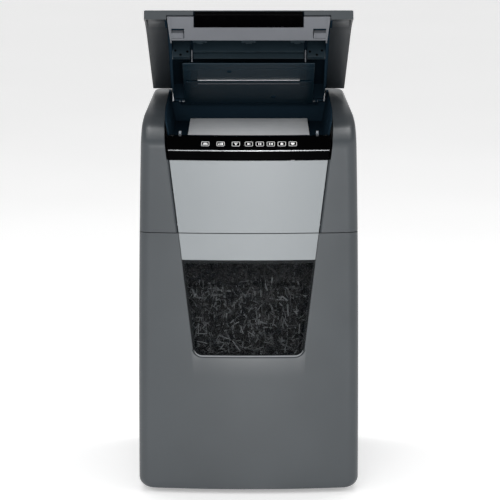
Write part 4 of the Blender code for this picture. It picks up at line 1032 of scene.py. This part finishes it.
def make_plate():
    marks = [PLATE_REAR + (PLATE_FRONT - PLATE_REAR) * i / 24 for i in range(25)]
    under = [plate_under(r) for r in marks]
    under += [plate_under(PLATE_FRONT + 0.0008, 0.0008), plate_under(PLATE_FRONT + 0.0010, 0.0020)]
    over = [plate_under(r - 0.0005, 0.0025) for r in reversed(marks[1:])] + [plate_under(PLATE_REAR, 0.0025)]
    sheet = bar_of([p.yz for p in under + over], "X", -PLATE_HALF, PLATE_HALF)
    slot_near, slot_far = SLOT_Y - SLOT_WIDE / 2, SLOT_Y + SLOT_WIDE / 2
    cuts = [block((-SLOT_HALF, slot_near, 0.58), (SLOT_HALF, slot_far, 0.64))]
    for side in (1, -1):
        cuts.append(plate_box(0.110, 0.190, -0.002, 0.0006, *to_side(side, 0.0900, 0.1000)))
    cuts.append(plate_box(0.1970, 0.1985, -0.002, 0.0009, -PLATE_HALF - 0.01, PLATE_HALF + 0.01))
    lid_piece("plate_sheet", sheet, PLATE_GREY, 0.0004, "pressure_plate", cuts, "plate")
    eyes = []
    pivot = ahead(0.0245, -0.0285)
    for side in (1, -1):
        near, far = to_side(side, 0.098, 0.114)
        eyes.append(rod((near, pivot.y, pivot.z), (far, pivot.y, pivot.z), 0.0044, 32))
    lid_piece("plate_eyes", merged(*eyes), PLATE_GREY, 0.0004, body="plate")

    line = SLOT_REACH + SLOT_WIDE / 2 + 0.0003
    strip = plate_box(line, line + 0.0036, -0.0012, -0.0003, -STRIP_HALF, STRIP_HALF)
    lid_piece("slot_line", strip, SLOT_CHROME, 0.0003, "slot_strip", body="plate")
    second = SLOT_REACH - 0.0125
    lip = plate_box(second, second + 0.0016, -0.0009, -0.0002, -STRIP_HALF, STRIP_HALF)
    lid_piece("slot_lip", lip, LID_GREY, 0.0002, body="plate")
    for number, (x, reach) in enumerate(((-0.034, 0.185), (0.044, 0.060))):
        spot = plate_under(reach, -0.0001) + Vector((x, 0, 0))
        dot = rod(spot, spot + Vector((0, 0, -0.0008)), 0.0042, 28, 0.0036)
        lid_piece(f"paper_sensor_{number + 1}", dot, INNER, 0, body="plate")


# ---------------- rear, sides and small fittings
def screw_head(name, x, z):
    """A pan head with a cross recess, sunk in the rear wall."""
    y = REAR - 0.0021
    head = new_piece(name, rod((x, y, z), (x, y + 0.0018, z), 0.0040, 28, 0.0032), STEEL, "cabinet")
    carve(head, [block((x - wide, y + 0.0009, z - high), (x + wide, y + 0.0030, z + high))
                 for wide, high in ((0.0005, 0.0024), (0.0024, 0.0005))])
    soften(head, 0.0002, 2)


def make_details():
    for number, (x, z) in enumerate(REAR_SCREWS + HOUSING_SCREWS):
        screw_head(f"rear_screw_{number + 1}", x, z)
    y, z = -0.070, 0.628
    for number, side in enumerate((1, -1)):
        x = chamber_half(z) - 0.0004
        plug = rod((side * x, y, z), (side * (x - 0.0010), y, z), 0.0040, 28, 0.0034)
        new_piece(f"chamber_plug_{number + 1}", plug, INNER, "cabinet")


def make_walls():
    """Side and rear walls with smooth skirts."""
    side_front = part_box("side_panel_right")[0][1]
    side_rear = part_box("side_panel_right")[1][1]
    for side, name in SIDES:
        def path(z, inset):
            ys = [side_front + (side_rear - side_front) * i / 8 for i in range(9)]
            return [(side * (side_x(y, z) - inset), y) for y in ys]
        wall = new_piece(f"side_wall_{name}", ribbon(path, WALL, SEAM), BODY, "cabinet")
        hand_over(wall, f"side_panel_{name}", 0.0007, 2)
    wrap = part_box("rear_panel")[0][1]

    def rear_path(z, inset):
        half = [(side_x(wrap, z) - inset, wrap)] + rear_outline(z, inset)
        return half + [(-x, y) for x, y in reversed(half)][1:]
    rear = new_piece("rear_wall", ribbon(rear_path, WALL, SEAM), BODY, "cabinet")
    vents = []
    for row in range(5):
        low = VENT_TOP - VENT_PITCH * row
        vents.append(rounded_block((-VENT_HALF, REAR - 0.010, low),
                                   (VENT_HALF, REAR + 0.010, low + VENT_HIGH), 0.0018))
    carve(rear, vents + screw_seats(REAR_SCREWS))
    hand_over(rear, "rear_panel", 0.0007, 2)


NODE_FINISH = {
    BODY: ("hinge_arm_left", "hinge_arm_right"),
    INNER: ("base_pan", "feed_chamber", "inlet_socket", "fan_frame", "fan_rotor", "lid_inner_frame",
            "lid_throat"),
    GLOSS: ("power_rocker",),
    STEEL: ("cutter_shaft_front", "cutter_shaft_rear", "motor_shaft"),
    DARK_STEEL: ("latch_keeper_left", "latch_keeper_right", "plate_pivot_rod"),
    ZINC: ("bin_rail_left", "bin_rail_right", "chassis_plate", "cutter_frame_left", "cutter_frame_right",
           "stripper_comb_front", "stripper_comb_rear", "hinge_bracket_left", "hinge_bracket_right", "motor",
           "power_supply"),
    RUBBER: ("foot_1", "foot_2", "foot_3", "foot_4", "feed_roller_front", "feed_roller_rear"),
    NYLON: ("cutter_gear_front", "cutter_gear_rear", "drive_gear", "idler_gear_front", "idler_gear_rear",
            "feed_gear_front", "feed_gear_rear", "motor_pinion"),
    BOARD: ("control_board",),
    TUB: ("bin_tub",),
}


def finish_nodes():
    for mat, names in NODE_FINISH.items():
        for name in names:
            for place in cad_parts[name].material_slots:
                place.material = mat


# ---------------- camera, floor and light
def area_light(name, spot, target, size, power):
    data = bpy.data.lights.new(name, "AREA")
    data.shape = "RECTANGLE"
    data.size, data.size_y = size
    data.energy = power
    lamp = put_in_scene(name, data)
    lamp.location = spot
    lamp.rotation_euler = (Vector(target) - Vector(spot)).to_track_quat("-Z", "Y").to_euler()


CAMERA_AWAY, CAMERA_HEIGHT, CAMERA_DOWN = 5.0, 1.309, 10      # metres, metres and degrees


def make_studio():
    data = bpy.data.cameras.new("camera")
    data.sensor_width = 36.0
    data.lens = 215.28
    camera = put_in_scene("camera", data)
    camera.location = (0.0023, FRONT - CAMERA_AWAY, CAMERA_HEIGHT)
    camera.rotation_euler = (math.radians(90 - CAMERA_DOWN), 0, 0)
    bpy.context.scene.camera = camera
    bpy.context.scene.view_settings.view_transform = "Standard"

    bm = bmesh.new()
    ops.create_grid(bm, x_segments=1, y_segments=1, size=12.0)
    mesh = bpy.data.meshes.new("studio_floor")
    bm.to_mesh(mesh)
    bm.free()
    mat, tree, shader, places = start_material("floor white", 0.6, specular=0.2)
    cloud = add_node(tree, "TexNoise", Scale=1.5)
    tree.links.new(places.outputs["Object"], cloud.inputs["Vector"])
    vary(tree, shader, cloud.outputs["Fac"], (0.93, 0.93, 0.93), (0.95, 0.95, 0.95), (0.55, 0.65))
    shader.inputs["Emission Color"].default_value = (1, 1, 1, 1)
    shader.inputs["Emission Strength"].default_value = 0.34
    mesh.materials.append(mat)
    put_in_scene("studio_floor", mesh)

    world = bpy.data.worlds.new("studio")
    world.use_nodes = True
    tree = world.node_tree
    background = tree.nodes["Background"]
    background.inputs["Strength"].default_value = 1.02
    sky = add_node(tree, "TexCoord")
    rise = add_node(tree, "SeparateXYZ")
    behind = add_node(tree, "Math")
    behind.operation = "MULTIPLY_ADD"
    behind.inputs[1].default_value = 0.5
    dusk = add_ramp(tree, 0.40, 0.95, (1, 1, 1), (0.12, 0.12, 0.12))
    tree.links.new(sky.outputs["Generated"], rise.inputs["Vector"])
    tree.links.new(rise.outputs["Y"], behind.inputs[0])
    tree.links.new(rise.outputs["Z"], behind.inputs[2])
    tree.links.new(behind.outputs["Value"], dusk.inputs["Fac"])
    tree.links.new(dusk.outputs["Color"], background.inputs["Color"])
    bpy.context.scene.world = world
    area_light("key", (-0.5, -3.4, 1.9), (0, 0, 0.42), (1.3, 0.8), 24)
    area_light("fill", (0.1, -3.3, 0.50), (0, 0, 0.38), (0.7, 0.5), 20)
    area_light("rim", (0, 0.62, 3.2), (0, -0.1, 0.60), (2.8, 0.5), 44)


make_housing()
make_key_strip()
make_bin()
make_walls()
make_paper()
make_lid_cover()
make_lid_lining()
make_lid_inside()
make_plate()
make_details()
finish_nodes()
make_studio()
